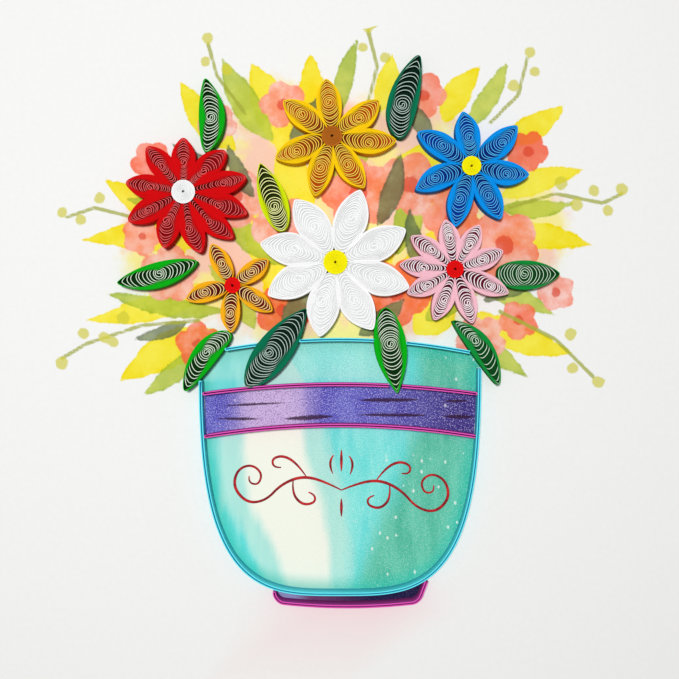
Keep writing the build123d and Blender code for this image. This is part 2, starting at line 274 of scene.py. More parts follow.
def placed(points, origin, heading):
    """Points along and beside a heading, as places on the card."""
    left, low = origin
    across = cos(radians(heading))
    up = sin(radians(heading))
    return [
        (left + along * across - beside * up, low + along * up + beside * across, *rest)
        for along, beside, *rest in points
    ]


def round_point(centre, distance, bearing):
    """The place at a distance from a centre, at a bearing in radians."""
    return centre[0] + distance * cos(bearing), centre[1] + distance * sin(bearing)


# Shader nodes


class Value:
    """A number inside a finish, which Python's own operators work on."""

    def __init__(self, finish, socket):
        self.finish = finish
        self.socket = socket

    def reckon(self, operation, first, second=0.0):
        node = self.finish.node("ShaderNodeMath", {"operation": operation}, {0: first, 1: second})
        return Value(self.finish, node.outputs[0])

    def __add__(self, other):
        return self.reckon("ADD", self, other)

    def __sub__(self, other):
        return self.reckon("SUBTRACT", self, other)

    def __rsub__(self, other):
        return self.reckon("SUBTRACT", other, self)

    def __mul__(self, other):
        return self.reckon("MULTIPLY", self, other)

    __radd__ = __add__
    __rmul__ = __mul__

    def size(self):
        return self.reckon("ABSOLUTE", self)

    def at_least(self, other):
        return self.reckon("MAXIMUM", self, other)

    def at_most(self, other):
        return self.reckon("MINIMUM", self, other)


class Finish:
    """One material and the nodes that make it."""

    def __init__(self, name, roughness=0.85):
        self.material = bpy.data.materials.new(name)
        self.material.use_nodes = True
        self.tree = self.material.node_tree
        self.tree.nodes.clear()
        output = self.node("ShaderNodeOutputMaterial")
        gloss = {"Roughness": roughness, "Specular IOR Level": GLOSS}
        self.shader = self.node("ShaderNodeBsdfPrincipled", {}, gloss)
        self.tree.links.new(self.shader.outputs[0], output.inputs["Surface"])

    def node(self, kind, settings=None, inputs=None):
        """A node with its settings, then the values or links of its sockets."""
        node = self.tree.nodes.new(kind)
        for name, value in (settings or {}).items():
            if name == "stops":
                ramp = node.color_ramp
                while len(ramp.elements) < len(value):
                    ramp.elements.new(0.5)
                for stop, (place, colour) in zip(ramp.elements, value):
                    stop.position = place
                    stop.color = (*colour, 1)
            else:
                setattr(node, name, value)
        for name, value in (inputs or {}).items():
            socket = node.inputs[name]
            if isinstance(value, Value):
                value = value.socket
            if isinstance(value, bpy.types.NodeSocket):
                self.tree.links.new(value, socket)
            elif socket.type == "RGBA":
                socket.default_value = (*value, 1)
            else:
                socket.default_value = value
        return node

    def place(self):
        return self.node("ShaderNodeTexCoord").outputs["Object"]

    def parts(self, vector):
        split = self.node("ShaderNodeSeparateXYZ", {}, {0: vector})
        return [Value(self, socket) for socket in split.outputs]

    def attribute(self, name):
        return Value(self, self.node("ShaderNodeAttribute", {"attribute_name": name}).outputs["Fac"])

    def attribute_parts(self, name):
        return self.parts(self.node("ShaderNodeAttribute", {"attribute_name": name}).outputs["Vector"])

    def noise(self, vector, scale, detail=3.0, roughness=0.55):
        inputs = {"Vector": vector, "Scale": scale, "Detail": detail, "Roughness": roughness}
        return Value(self, self.node("ShaderNodeTexNoise", {}, inputs).outputs["Fac"])

    def stretched(self, vector, across):
        """The same places with their Y scaled, so a pattern runs longer that way."""
        inputs = {"Vector": vector, "Scale": (1, across, 1)}
        return self.node("ShaderNodeMapping", {"vector_type": "POINT"}, inputs).outputs[0]

    def step(self, value, low, high, bottom=0.0, top=1.0):
        """A smooth rise from one value to another."""
        inputs = {"Value": value, "From Min": low, "From Max": high, "To Min": bottom, "To Max": top}
        node = self.node("ShaderNodeMapRange", {"interpolation_type": "SMOOTHSTEP"}, inputs)
        return Value(self, node.outputs["Result"])

    def blend(self, share, first, second):
        inputs = {0: share, 6: first, 7: second}
        return self.node("ShaderNodeMix", {"data_type": "RGBA"}, inputs).outputs[2]

    def tint(self, share, below, red, green, blue):
        """A screen colour laid over the colour below it."""
        return self.blend(share, below, screen(red, green, blue))

    def two_tone(self, share, first, second):
        """A blend of two colours as a screen shows them."""
        return self.blend(share, screen(*first), screen(*second))

    def bump(self, height, distance, strength):
        inputs = {"Height": height, "Distance": distance, "Strength": strength}
        node = self.node("ShaderNodeBump", {}, inputs)
        self.tree.links.new(node.outputs[0], self.shader.inputs["Normal"])

    def colour(self, socket):
        self.tree.links.new(socket, self.shader.inputs["Base Color"])


def darker(colour, share):
    return tuple(share * part for part in colour)


def paper_finish(name, face, edge, gap_shade):
    """Strip paper: coloured faces, and top edges paler where a turn stands free, partly as the cut
    edge is and partly as a painted highlight. Painted shade lies down between the turns, low on the
    outer walls and on the fills of folds.
    """
    finish = Finish(name)
    place = finish.place()
    fibres = finish.noise(place, 3500, 4)
    cloud = finish.noise(place, 220, 2)
    rise, inside, free, layer, dusk = (finish.attribute(share) for share in ("rise", *SHARES))
    tone = fibres * 0.5 + cloud * 0.5
    faces = finish.blend(finish.step(tone, 0.35, 0.65, 0.0, 0.16), face, darker(face, 0.72))
    faces = finish.blend(layer * 0.12, faces, darker(face, 0.6))
    # Painted shade: the outer walls darken toward their base
    sides = finish.blend(finish.step(rise, 0.0, 1.0, 0.6, 0.1), faces, gap_shade)
    # Painted shade down between the turns and on the floor, darker toward the near end
    gaps = finish.blend(dusk, gap_shade, darker(gap_shade, 0.3))
    walls = finish.blend(inside * finish.step(rise, 0.4, 1.0, 1.0, 0.75), sides, gaps)
    # Painted highlight, partly the paler cut edge: tops turn paler where a turn stands free
    edges = finish.blend(free * 0.9, faces, edge)
    # Painted shade on the tops of the folds' fills
    edges = finish.blend(finish.step(inside, 1.2, 1.8), edges, gap_shade)
    finish.colour(finish.blend(finish.step(rise, 0.975, 0.998), walls, edges))
    finish.bump(fibres, 0.00004, 0.5)
    return finish.material


# Shapes


def only(obj):
    """Select one object and nothing else."""
    bpy.ops.object.select_all(action="DESELECT")
    obj.select_set(True)
    bpy.context.view_layer.objects.active = obj


def select_faces(obj, wanted):
    """Leave the object in edit mode with just the wanted faces selected."""
    only(obj)
    for part in (obj.data.vertices, obj.data.edges, obj.data.polygons):
        for item in part:
            item.select = False
    for face in obj.data.polygons:
        face.select = wanted(face)
    bpy.ops.object.mode_set(mode="EDIT")
    bpy.ops.mesh.select_mode(type="FACE")


def as_mesh(name, curve):
    """A curve's object, made a mesh."""
    obj = bpy.data.objects.new(name, curve)
    bpy.context.collection.objects.link(obj)
    only(obj)
    bpy.ops.object.convert(target="MESH")
    bpy.context.object.data.name = name
    return bpy.context.object


def flat_curve(name, lines, fill, half_height):
    """Flat lines through points in millimetres, raised both ways: closed and filled, or open."""
    curve = bpy.data.curves.new(name, "CURVE")
    curve.dimensions = "2D"
    curve.fill_mode = fill
    curve.extrude = half_height
    for line in lines:
        spline = curve.splines.new("POLY")
        spline.points.add(len(line) - 1)
        spline.use_cyclic_u = fill == "BOTH"
        for point, (x, y, *_) in zip(spline.points, line):
            point.co = (x * MM, y * MM, 0, 1)
    return as_mesh(name, curve)


def faces_outwards(merge=None):
    """Turn the active piece's faces outwards, once corners nearer than the distance are merged."""
    bpy.ops.object.mode_set(mode="EDIT")
    bpy.ops.mesh.select_all(action="SELECT")
    if merge:
        bpy.ops.mesh.remove_doubles(threshold=merge)
    bpy.ops.mesh.normals_make_consistent(inside=False)
    bpy.ops.object.mode_set(mode="OBJECT")


def new_attributes(mesh, names, kind="FLOAT"):
    """Attributes on a mesh's corners, looked up once all of them are there."""
    for name in names:
        mesh.attributes.new(name, kind, "POINT")
    return [mesh.attributes[name].data for name in names]


def painted_shade_floor(name, outlines, height):
    """A solid in painted shade that fills each outline from the card up to a height, apart from its holes.
    """
    obj = flat_curve(name, outlines, "BOTH", height * MM / 2)
    faces_outwards(merge=1e-7)
    inside, dusk = new_attributes(obj.data, ("inside", "dusk"))
    rims = [point for outline in outlines for point in outline]
    for vertex in obj.data.vertices:
        x = vertex.co.x / MM
        y = vertex.co.y / MM
        nearest = min(rims, key=lambda point: hypot(point[0] - x, point[1] - y))
        # The floor takes the painted shade of the gaps, as dark as at the nearest point of its outlines
        inside[vertex.index].value = 1.0
        dusk[vertex.index].value = nearest[-1]
        vertex.co.z += (CARD_TOP + height / 2) * MM
    return obj


def strip_on_edge(name, lines, thickness, material, arc=0.0, shade_floor_height=0.0, holes=()):
    """Paper strips that stand on the card along lines.

    Each point of a line holds its place, the height of the strip, and the shares that the finish
    reads: how far inside the coil it lies, how free its edge stands, the tone of its turn and how
    dark the painted shade is down there. Where the strip stands free its thickness is the one called
    arc. A solid in painted shade fills the coil up to the height given, apart from any holes.
    """
    obj = flat_curve(name, lines, "NONE", MM)
    mesh = obj.data
    points = [point for line in lines for point in line]
    if len(mesh.vertices) != 2 * len(points):
        raise RuntimeError(f"{name} has {len(mesh.vertices)} corners, not {2 * len(points)}")
    fields = new_attributes(mesh, ("rise", *SHARES))
    for vertex in mesh.vertices:
        height, *shares = points[vertex.index // 2][2:]
        top = vertex.co.z > 0
        vertex.co.z = (CARD_TOP + (height if top else 0)) * MM
        for field, value in zip(fields, (float(top), *shares)):
            field[vertex.index].value = value
    thickest = max(thickness, arc)
    group = obj.vertex_groups.new(name="thickness")
    for index in range(len(mesh.vertices)):
        free = points[index // 2][4]
        group.add([index], between(thickness, arc, free) / thickest, "REPLACE")
    solid = obj.modifiers.new("paper", "SOLIDIFY")
    solid.thickness = thickest * MM
    solid.vertex_group = group.name
    solid.offset = 0
    solid.use_even_offset = False
    bpy.ops.object.modifier_apply(modifier=solid.name)
    obj.vertex_groups.clear()
    bpy.ops.object.shade_smooth_by_angle(angle=radians(SMOOTH_ANGLE))
    faces_outwards()
    if shade_floor_height:
        outlines = [line[:COIL_STEPS] for line in lines]
        base = painted_shade_floor(name + "_floor", [*outlines, *holes], shade_floor_height)
        only(base)
        obj.select_set(True)
        bpy.context.view_layer.objects.active = obj
        bpy.ops.object.join()
    mesh.materials.clear()
    mesh.materials.append(material)
    return obj


def turn_tone(turn, wander=0.0):
    """A tone from 0 to 1 that jumps from each turn to the next."""
    return 0.5 + 0.5 * sin(TONE_RUN * (turn // 1) + wander)


class Coil:
    """A strip wound into a spiral and pinched at both ends, seen from above along its own axis."""

    def __init__(self, length, width, lean, belly, powers, heart, form, height, room=None):
        for name in COIL_FORM:
            setattr(self, name, form[name])
        self.length = length
        self.half = width / 2
        self.lean = lean
        self.belly = belly * length
        self.powers = powers
        self.heart = heart
        self.height = height
        self.room = room
        self.wander = (heart[0] * 7.3 + length * 3.1 + self.turns) % (2 * pi)
        self.gap = {}
        self.slack = {}
        for side in (1, -1):
            free = self.outline(heart[0], side) - side * heart[1] - self.core
            self.gap[side] = clamp(free / self.turns, LEAST_GAP * self.pitch, self.pitch)
            self.slack[side] = max(0.0, free - self.turns * self.gap[side])

    def outline(self, x, side):
        """How far the outermost turn stands off the axis on one side."""
        far = x > self.belly
        reach = self.length - self.belly if far else self.belly
        run = clamp(abs(x - self.belly) / reach)
        blunt = self.blunt[far]
        from_tip = min(blunt, reach * (1 - run))
        cap = sqrt(from_tip * (2 * blunt - from_tip))
        share = (1 - run**2) ** (self.powers[far] / 2)
        stand = side * self.lean * (1 - run**2) + self.half * share + cap * (1 - share)
        return min(stand, self.room(x, side)) if self.room else stand

    def bound(self, turn, x, side):
        """How far a turn can stand off the axis with the turns outside it in between."""
        step = 0.05
        slope = (self.outline(x + step, side) - self.outline(x - step, side)) / (2 * step)
        return self.outline(x, side) - turn * self.gap[side] * min(STEEP_GAP, sqrt(1 + slope**2))

    def ends(self, turn):
        """Near end, middle and far end of one turn along the axis."""
        share = clamp(turn / self.turns)
        step = TIP_STEP * max(self.gap.values())
        places = []
        for sign, packed, tip in ((1, self.packed[0], 0.0), (-1, self.packed[1], self.length)):
            begin = tip + sign * step * min(turn, packed)
            stop = self.heart[0] - sign * self.core
            part = clamp((turn - packed) / (self.turns - packed))
            swing = 0.2 * sin(2.6 * turn + self.wander + sign) + 0.11 * sin(5.3 * turn + 2 * self.wander)
            ripple = swing * sin(pi * part) * abs(stop - begin) / self.turns
            places.append(between(begin, stop, 1 - (1 - part) ** self.gather) + ripple)
        return places[0], between(self.belly, self.heart[0], share), places[1]

    def stand(self, turn, x, side):
        """How far a turn stands off the axis on one side."""
        if turn <= 0:
            return self.outline(x, side)
        near, middle, far = self.ends(turn)
        share = clamp(turn / self.turns)
        reach = far - middle if x > middle else middle - near
        run = clamp(abs(x - middle) / reach)
        line = side * (self.lean * (1 - run**2) * (1 - share) + self.heart[1] * share)
        bound = self.bound(turn, x, side)
        middle_line = side * (self.lean * (1 - share) + self.heart[1] * share)
        middle_room = max(0.2, self.bound(turn, middle, side) - middle_line)
        tight = 1 - self.slack[side] * share**self.spread / middle_room
        free_half = self.half - turn * self.gap[side]
        pointed = line + SWELL * free_half * tight * (1 - run**2) ** (self.powers[x > middle] / 2)
        from_end = reach * (1 - run)
        probe = middle + (reach - min(0.5 * reach, 0.4 * middle_room)) * (1 if x > middle else -1)
        end_room = clamp(self.bound(turn, probe, side) - line, 0.15, middle_room * tight)
        nose = clamp(from_end / min(reach, self.roundness * end_room))
        rounded = line + max(0.0, bound - line) * tight * sqrt(1 - (1 - nose) ** 2)
        best = min(between(pointed, rounded, clamp(turn / self.chevrons)), bound)
        least = line + min(0.45 * self.gap[side], 0.5 * from_end)
        return max(best, least)

    def wound(self):
        """Places on the turns and round the heart, with the turn and how free its edge stands."""
        for index in range(round((self.turns + 1) * COIL_STEPS) + 1):
            turn = index / COIL_STEPS - 1
            angle = pi + 2 * pi * turn
            near, middle, far = self.ends(max(0, turn))
            run = cos(angle)
            x = middle + run * (far - middle if run > 0 else middle - near)
            side = 1 if sin(angle) >= 0 else -1
            height = self.stand(turn, x, side)
            free = 0.0
            if turn > 0:
                gap = self.stand(turn - 1, x, side) - height - self.gap[side]
                free = clamp((gap - FREE_FROM) / FREE_OVER)
            yield x, side * height, turn, free
        along = x - self.heart[0]
        beside = side * height - self.heart[1]
        hook = HOOK_SHARE * self.core
        for index in range(1, 21):
            share = index / 20
            angle = atan2(beside, along) + 1.6 * pi * share
            x, y = round_point(self.heart, between(hypot(along, beside), hook, share), angle)
            yield x, y, self.turns + 1, 1.0
        for sign, steps, half_turn in ((1, 9, 9), (-1, 8, 10)):
            middle = round_point(self.heart, sign * hook / 2, angle)
            for index in range(1, steps + 1):
                x, y = round_point(middle, hook / 2, angle + sign * pi * index / half_turn)
                yield x, y, self.turns + 2, 1.0

    def line(self):
        """The strip's line from its outer end to the hook at its heart."""
        points = []
        for x, y, turn, free in self.wound():
            wobble = COIL_WOBBLE * (sin(5.1 * turn + self.wander) + sin(2.2 * x + self.wander))
            sink = COIL_SINK * clamp((turn - self.turns * 0.5) / (self.turns * 0.5))
            # How much darker the painted shade between the turns grows toward the near end
            dusk = self.dusk * clamp(1 - x / self.heart[0])
            tone = turn_tone(turn, self.wander)
            points.append((x, y, self.height - sink + wobble, float(turn > 0), free, tone, dusk))
        return points


def flower_lines(form, height):
    """Every petal's strip line, each flattened where it meets the petal beside it."""
    start = form["roll"] - form["tuck"]

    def bearing(petal):
        heading, reach, lean, *_ = petal
        return heading + degrees(atan2(lean, start + PETAL_BELLY * (reach - start)))

    around = sorted(form["petals"], key=bearing)
    lines = []
    for petal in form["petals"]:
        heading, reach, lean, heart_along, heart_beside = petal
        place = around.index(petal)
        own = bearing(petal)
        after = bearing(around[(place + 1) % len(around)])
        before = bearing(around[place - 1])
        edges = {
            1: own - heading + ((after - own) % 360) / 2,
            -1: heading - own + ((own - before) % 360) / 2,
        }

        def room(x, side, edges=edges):
            edge = radians(min(PETAL_WIDEST_ANGLE, edges[side]))
            return (start + x) * tan(edge) - form["pitch"] / 2

        powers = (form["near"], PETAL_FAR_POWER)
        heart = (heart_along - start, heart_beside)
        width = form["width"]
        coil = Coil(reach - start, width, lean, PETAL_BELLY, powers, heart, form, height, room)
        shifted = [(start + x, *rest) for x, *rest in coil.line()]
        lines.append(placed(shifted, form["centre"], heading))
    return lines


def roll_line(centre, radius, height):
    """A strip rolled up tight, a little proud of the petals and more so in its middle."""
    outer = radius - ROLL_PITCH / 2
    turns = (outer - ROLL_HOLE) / ROLL_PITCH
    points = []
    for index in range(round((turns + 1) * COIL_STEPS) + 1):
        turn = index / COIL_STEPS
        distance = outer - ROLL_PITCH * clamp(turn - 1, 0, turns)
        x, y = round_point(centre, distance, 2 * pi * turn + 0.9)
        top = height + ROLL_RISE + ROLL_CROWN * (1 - (distance / radius) ** 2)
        points.append((x, y, top, float(turn > 1), 0.0, turn_tone(turn), 0.0))
    return points


def roll_hole(centre):
    """The round hole that is left in a roll's middle."""
    return [(*round_point(centre, ROLL_HOLE, radians(angle)), 0.0) for angle in range(0, 360, 15)]


def beside_path(path, distance):
    """A path moved sideways, to its left for a positive distance."""
    moved = []
    for index, point in enumerate(path):
        before = path[max(0, index - 1)]
        after = path[min(len(path) - 1, index + 1)]
        bearing = atan2(after[1] - before[1], after[0] - before[0])
        moved.append(round_point(point, distance, bearing + pi / 2))
    return moved


def doubled(path, settings, depth):
    """A strip folded double along a path, its fold at the path's start, and a fill between its plies, its
    top under the edges, that the finish paints in shade.
    """
    offset = (settings.fold_gap + settings.paper_folded) / MM / 2
    bearing = atan2(path[1][1] - path[0][1], path[1][0] - path[0][0])
    start = round_point(path[0], offset, bearing)
    fold = [round_point(start, offset, bearing + radians(angle)) for angle in range(110, 260, 20)]
    plies = [*reversed(beside_path(path, offset)), *fold, *beside_path(path, -offset)[1:]]
    height = settings.strip_height / MM - FOLD_LOW
    return (
        [(x, y, height + FOLD_WOBBLE * sin(0.9 * x + 0.7 * y), 0.0, 0.0, 0.0, 0.0) for x, y in plies],
        [(x, y, height - depth, SHADE_FILL, 0.0, 0.0, 0.0) for x, y in path],
    )


def bowl_side(x):
    """Height of the bowl's outline above its lowest point."""
    run = clamp(abs(x - BOWL_MIDDLE) / BOWL_HALF_WIDTH)
    return BOWL_DEPTH * (1 - (1 - run**BOWL_POWER) ** (1 / BOWL_POWER))


def bowl_half(y):
    """Half the bowl's width at a height."""
    drop = clamp((BOWL_SHOULDER - y) / BOWL_DEPTH)
    return BOWL_HALF_WIDTH * (1 - drop**BOWL_POWER) ** (1 / BOWL_POWER)


def bowl_path():
    """From the left wall's top, down, along the bottom and up to the right wall's top."""
    left_top, right_top = WALL_TOPS
    path = [(BOWL_MIDDLE - bowl_half(left_top), left_top)]
    for degree in range(2, 180, 2):
        angle = radians(degree)
        side = 1 if degree > 90 else -1
        x = BOWL_MIDDLE + side * abs(cos(angle)) ** (2 / BOWL_POWER) * BOWL_HALF_WIDTH
        y = BOWL_BOTTOM + BOWL_DEPTH * (1 - sin(angle) ** (2 / BOWL_POWER))
        if y < WALL_TOPS[side > 0] - 0.5:
            path.append((x, y))
    path.append((BOWL_MIDDLE + bowl_half(right_top), right_top))
    return path


def arch(start, end, middle, sag):
    """A shallow curve that falls away on both sides of the bowl's middle."""
    steps = max(2, round(abs(end - start) / ARCH_PACE))
    places = [between(start, end, step / steps) for step in range(steps + 1)]
    return [(x, middle - sag * (x - BOWL_MIDDLE) ** 2) for x in places]


def wall_to_wall(middle, sag):
    """Where a strip across the bowl ends on the left and on the right, clear of the walls."""
    half = BOWL_HALF_WIDTH
    for _ in range(8):
        half = bowl_half(middle - sag * half**2) - STRIP_HALF - JOINT_GAP
    return BOWL_MIDDLE - half, BOWL_MIDDLE + half


def foot_path():
    """Down from the bowl at the left, along the bottom and up to the bowl at the right."""
    gap = 2 * STRIP_HALF + JOINT_GAP
    low_left = FOOT_LEFT + FOOT_LEFT_SLANT
    low_right = FOOT_RIGHT - FOOT_RIGHT_SLANT
    low = BOWL_BOTTOM - FOOT_DEPTH + FOOT_BOW
    corners = [
        (FOOT_LEFT, BOWL_BOTTOM + bowl_side(FOOT_LEFT) - gap),
        (low_left, low),
        (low_right, low),
        (FOOT_RIGHT, BOWL_BOTTOM + bowl_side(FOOT_RIGHT) - gap),
    ]
    path = [corners[0]]
    for before, corner, after in zip(corners, corners[1:], corners[2:]):
        into = atan2(corner[1] - before[1], corner[0] - before[0])
        turn = atan2(after[1] - corner[1], after[0] - corner[0]) - into
        setback = FOOT_CORNER * tan(turn / 2)
        centre = round_point(round_point(corner, -setback, into), FOOT_CORNER, into + pi / 2)
        path += [round_point(centre, FOOT_CORNER, into + turn * step / 8 - pi / 2) for step in range(9)]
        if corner is corners[1]:
            path += [
                (between(low_left + setback, low_right - setback, step / 12), low) for step in range(1, 12)
            ]
    path.append(corners[-1])
    middle = (low_left + low_right) / 2
    reach = (low_right - low_left) / 2
    return [
        (x, y - FOOT_BOW * clamp(1 - ((x - middle) / reach) ** 2) if y < BOWL_BOTTOM else y)
        for x, y in path
    ]


# Printed picture: simple shapes on the card's front. Leaves are a stalk end, a tip, a width, a bow
# and a tone. Blossoms are a middle, a radius, a turn and a tone. Washes are a middle and two half
# widths, stems a line of places, and buds a middle and a radius. A blossom's heart has a share of
# its radius.
PRINT_LEAVES = {
    "lemon": [
        ((-30, 26), (-50, 34), 7.0, 1.5, 0.3), ((-28, 20), (-55, 21), 6.5, -1.5, 0.7),
        ((-26, 12), (-54, 4), 6.0, 1.2, 0.2), ((-26, 2), (-47, -9), 8.0, -1.0, 0.6),
        ((-22, 40), (-34, 55), 6.5, 1.0, 0.5), ((-12, 40), (-19, 59), 8.5, -1.2, 0.4),
        ((-4, 46), (-6, 61), 6.0, 0.8, 0.8), ((8, 48), (11, 61), 5.5, -0.8, 0.3),
        ((22, 46), (30, 58), 6.5, 1.0, 0.6), ((34, 42), (48, 50), 6.0, -1.0, 0.4),
        ((34, 30), (52, 36), 5.5, 1.0, 0.2), ((32, 22), (54, 20), 6.0, 1.0, 0.7),
        ((28, 6), (50, -3), 6.5, -1.4, 0.5), ((14, 8), (26, 26), 8.0, 1.4, 0.8),
        ((-14, 10), (-20, 32), 9.0, -1.5, 0.3), ((4, 6), (12, 24), 8.5, 1.2, 0.5),
        ((-6, 26), (-12, 44), 8.0, 1.2, 0.6), ((6, 28), (18, 42), 8.0, -1.0, 0.3),
        ((-40, 8), (-32, 22), 6.0, 1.0, 0.6), ((20, 26), (22, 44), 7.5, 1.2, 0.5),
        ((-8, 1), (-16, 12), 8.0, 1.0, 0.7), ((16, 1), (24, 12), 8.5, -1.0, 0.4),
    ],
    "grass": [
        ((-24, 22), (-46, 30), 4.6, -1.0, 0.3), ((-24, 6), (-50, 10), 4.4, 1.0, 0.6),
        ((-14, 42), (-25, 60), 6.5, 1.0, 0.2), ((0, 48), (4, 64), 4.2, 0.8, 0.7),
        ((-2, 30), (8, 44), 7.0, 1.2, 0.3), ((26, 44), (36, 60), 4.6, -0.9, 0.5),
        ((34, 28), (50, 29), 4.2, -0.8, 0.6), ((28, 12), (46, 5), 5.0, 0.8, 0.3),
        ((8, 2), (4, 18), 6.5, 0.8, 0.5), ((-18, 2), (-28, 16), 6.0, -1.0, 0.4),
        ((12, 18), (16, 36), 6.5, -1.0, 0.7), ((18, 4), (30, 10), 5.0, 0.9, 0.5),
        ((-10, 16), (-26, 28), 6.0, 0.9, 0.6), ((-30, -2), (-42, -12), 4.6, 0.6, 0.3),
        ((26, 0), (40, -8), 4.8, 0.8, 0.6),
    ],
    "moss": [
        ((-22, 34), (-36, 42), 3.6, 0.8, 0.3), ((-10, 38), (-4, 52), 4.2, 0.9, 0.7),
        ((8, 24), (13, 40), 4.6, -0.9, 0.5), ((18, 14), (15, 28), 4.2, 0.7, 0.6),
        ((-12, 2), (-6, 10), 4.6, 0.6, 0.4), ((4, 1), (14, 9), 4.8, -0.8, 0.8),
        ((20, 40), (13, 52), 4.0, -0.7, 0.5), ((30, 8), (44, 12), 3.2, 0.6, 0.5),
        ((-32, 4), (-44, 0), 3.2, 0.6, 0.4), ((-18, 30), (-24, 42), 3.8, 0.7, 0.6),
    ],
}
PRINT_BLOSSOMS = [
    ((-22, 30), 6.5, 10, 0.15), ((4, 31), 8.0, 40, 0.55), ((15, 33), 7.0, 0, 0.35),
    ((-12, 24), 7.0, 25, 0.2), ((12, 10), 7.5, 15, 0.9), ((35, 20), 8.0, 30, 0.45),
    ((-36, 14), 6.5, 55, 0.3), ((-40, 38), 4.5, 20, 0.7), ((18, 52), 5.0, 5, 0.4),
    ((-12, 50), 5.2, 35, 0.25), ((40, 40), 4.6, 12, 0.8), ((-42, 22), 4.4, 0, 0.5),
    ((30, 0), 5.6, 22, 0.3), ((-30, -1), 5.0, 48, 0.75), ((-12, 6), 6.0, 8, 0.85),
    ((46, 10), 4.2, 40, 0.2), ((24, 26), 6.5, 33, 0.65), ((-26, 46), 4.4, 18, 0.15),
    ((38, 4), 4.4, 27, 0.6),
]
BLOSSOM_PETALS = 5
BLOSSOM_HEART = 0.26
PRINT_WASHES = [
    (0, 32, 30, 20), (-30, 20, 18, 17), (32, 24, 18, 16), (0, 10, 30, 14), (-14, 48, 12, 9),
    (14, 46, 14, 9),
]
PRINT_STEMS = [
    [(-30, 4), (-42, 3), (-54, -1), (-59, -4)], [(36, 28), (46, 31), (56, 29), (60, 31)],
    [(6, 50), (8, 58), (6, 66)], [(32, 46), (38, 52), (40, 60)], [(-20, 48), (-26, 56), (-28, 63)],
    [(34, 6), (46, 0), (54, -8)], [(-44, 26), (-52, 28), (-58, 26)],
]
STEM_WIDTH = 0.9
PRINT_BUDS = [
    (-46, 4.6, 1.5), (-50, 0.4, 1.4), (-54.5, 1.4, 1.3), (-59, -5, 1.4), (-48, -0.6, 1.2),
    (47, 33.2, 1.5), (50.5, 28.6, 1.4), (54, 31.6, 1.3), (60, 32, 1.4), (57, 27.4, 1.2),
    (9.8, 60, 1.3), (5, 62, 1.2), (6, 66.5, 1.3), (37, 54, 1.3), (41.5, 57, 1.2), (40.5, 61, 1.3),
    (-24, 57.5, 1.3), (-28.5, 59, 1.2), (-28, 64, 1.3), (49, 1, 1.4), (49.6, -6, 1.3), (55, -9, 1.4),
    (-51, 30, 1.3), (-55, 25.4, 1.3), (-59, 27, 1.2),
]
# The depth of a place that lies far outside a shape
FAR_AWAY = -9.0

# The fine grid that carries the print: its rows and columns, the waist below which it is narrower,
# half its width there, and the cuts between its rows. Then how low the bouquet reaches, and how high
# and how wide the bowl's print.
PRINT_ROWS = (66, 39.3, 12.7, -14, -36, -58)
PRINT_COLUMNS = (-62, -31, 0, 31, 62)
PRINT_WAIST = -14
PRINT_LOW_HALF = 31
PRINT_CUTS = 49
BOUQUET_LOW = -16
BOWL_PRINT_TOP = 2
BOWL_PRINT_HALF = 34
# The blush under the foot: its top, its middle, how much wider than high it is, its strength, and
# how far from the middle it starts and ends to fade
BLUSH_TOP = -40
BLUSH_MIDDLE = (2, -57)
BLUSH_STRETCH = 2.2
BLUSH_STRENGTH = 0.7
BLUSH_FADE = (2.0, 12.0)

# Printed bowl. The streak has a height, the place of its middle and its half width there, and the
# green edge a height and a place. Cream fills the streak below a height, haze comes in between two, and
# lavender fills the band round a place. Brush marks stand in two rows: start, end, half thickness.
STREAK = [
    (0.0, -13.0, 0.5), (-5.0, -13.4, 2.0), (-9.0, -13.6, 3.6), (-18.0, -14.2, 6.2),
    (-24.0, -14.0, 6.6), (-34.0, -11.6, 7.8), (-44.0, -8.2, 6.2), (-54.0, -6.4, 5.0),
]
GREEN_EDGE = [(-18.0, 15.6), (-36.0, 9.0), (-54.0, 2.0)]
CREAM_TOP = -13.0
HAZE_LOW = -9.5
HAZE_HIGH = -7.5
LAVENDER_MIDDLE = -14.2
LAVENDER_HALF = 9.0
BRUSH_ROWS = [
    [(-25.4, -14.1, -10.8, -13.4, 0.34), (4.0, -12.9, 17.2, -12.8, 0.55), (22.0, -13.1, 27.6, -13.0, 0.4)],
    [
        (-26.4, -16.8, -16.4, -16.9, 0.4), (-12.0, -16.9, -1.0, -16.3, 0.6),
        (3.3, -16.0, 19.2, -16.1, 0.46), (21.8, -16.3, 28.8, -16.5, 0.52),
    ],
]


def leaf_depth(shape, x, y):
    """How far inside a printed leaf a place lies."""
    (base_x, base_y), (tip_x, tip_y), width, bow, _ = shape
    length = hypot(tip_x - base_x, tip_y - base_y)
    run_x = (tip_x - base_x) / length
    run_y = (tip_y - base_y) / length
    along = (x - base_x) * run_x + (y - base_y) * run_y
    share = along / length
    if not -0.2 < share < 1.2:
        return FAR_AWAY
    inside = clamp(share)
    across = (y - base_y) * run_x - (x - base_x) * run_y - 4 * bow * inside * (1 - inside)
    half = width / 2 * sin(pi * inside**0.85) ** 0.9 if 0 < inside < 1 else 0.0
    return half - abs(across) - max(0.0, -along, along - length)


def blossom_depth(shape, x, y):
    """How far inside a printed blossom a place lies."""
    (middle_x, middle_y), radius, turn, _ = shape
    distance = hypot(x - middle_x, y - middle_y)
    if distance > radius + 3:
        return FAR_AWAY
    angle = atan2(y - middle_y, x - middle_x) + radians(turn)
    return radius * (0.74 + 0.26 * abs(cos(BLOSSOM_PETALS * angle / 2)) ** 0.6) - distance


def stem_depth(line, x, y):
    """How far inside a printed stem a place lies."""
    best = FAR_AWAY
    for (x1, y1), (x2, y2) in zip(line, line[1:]):
        run_x = x2 - x1
        run_y = y2 - y1
        share = clamp(((x - x1) * run_x + (y - y1) * run_y) / (run_x**2 + run_y**2))
        best = max(best, STEM_WIDTH / 2 - hypot(x - x1 - share * run_x, y - y1 - share * run_y))
    return best


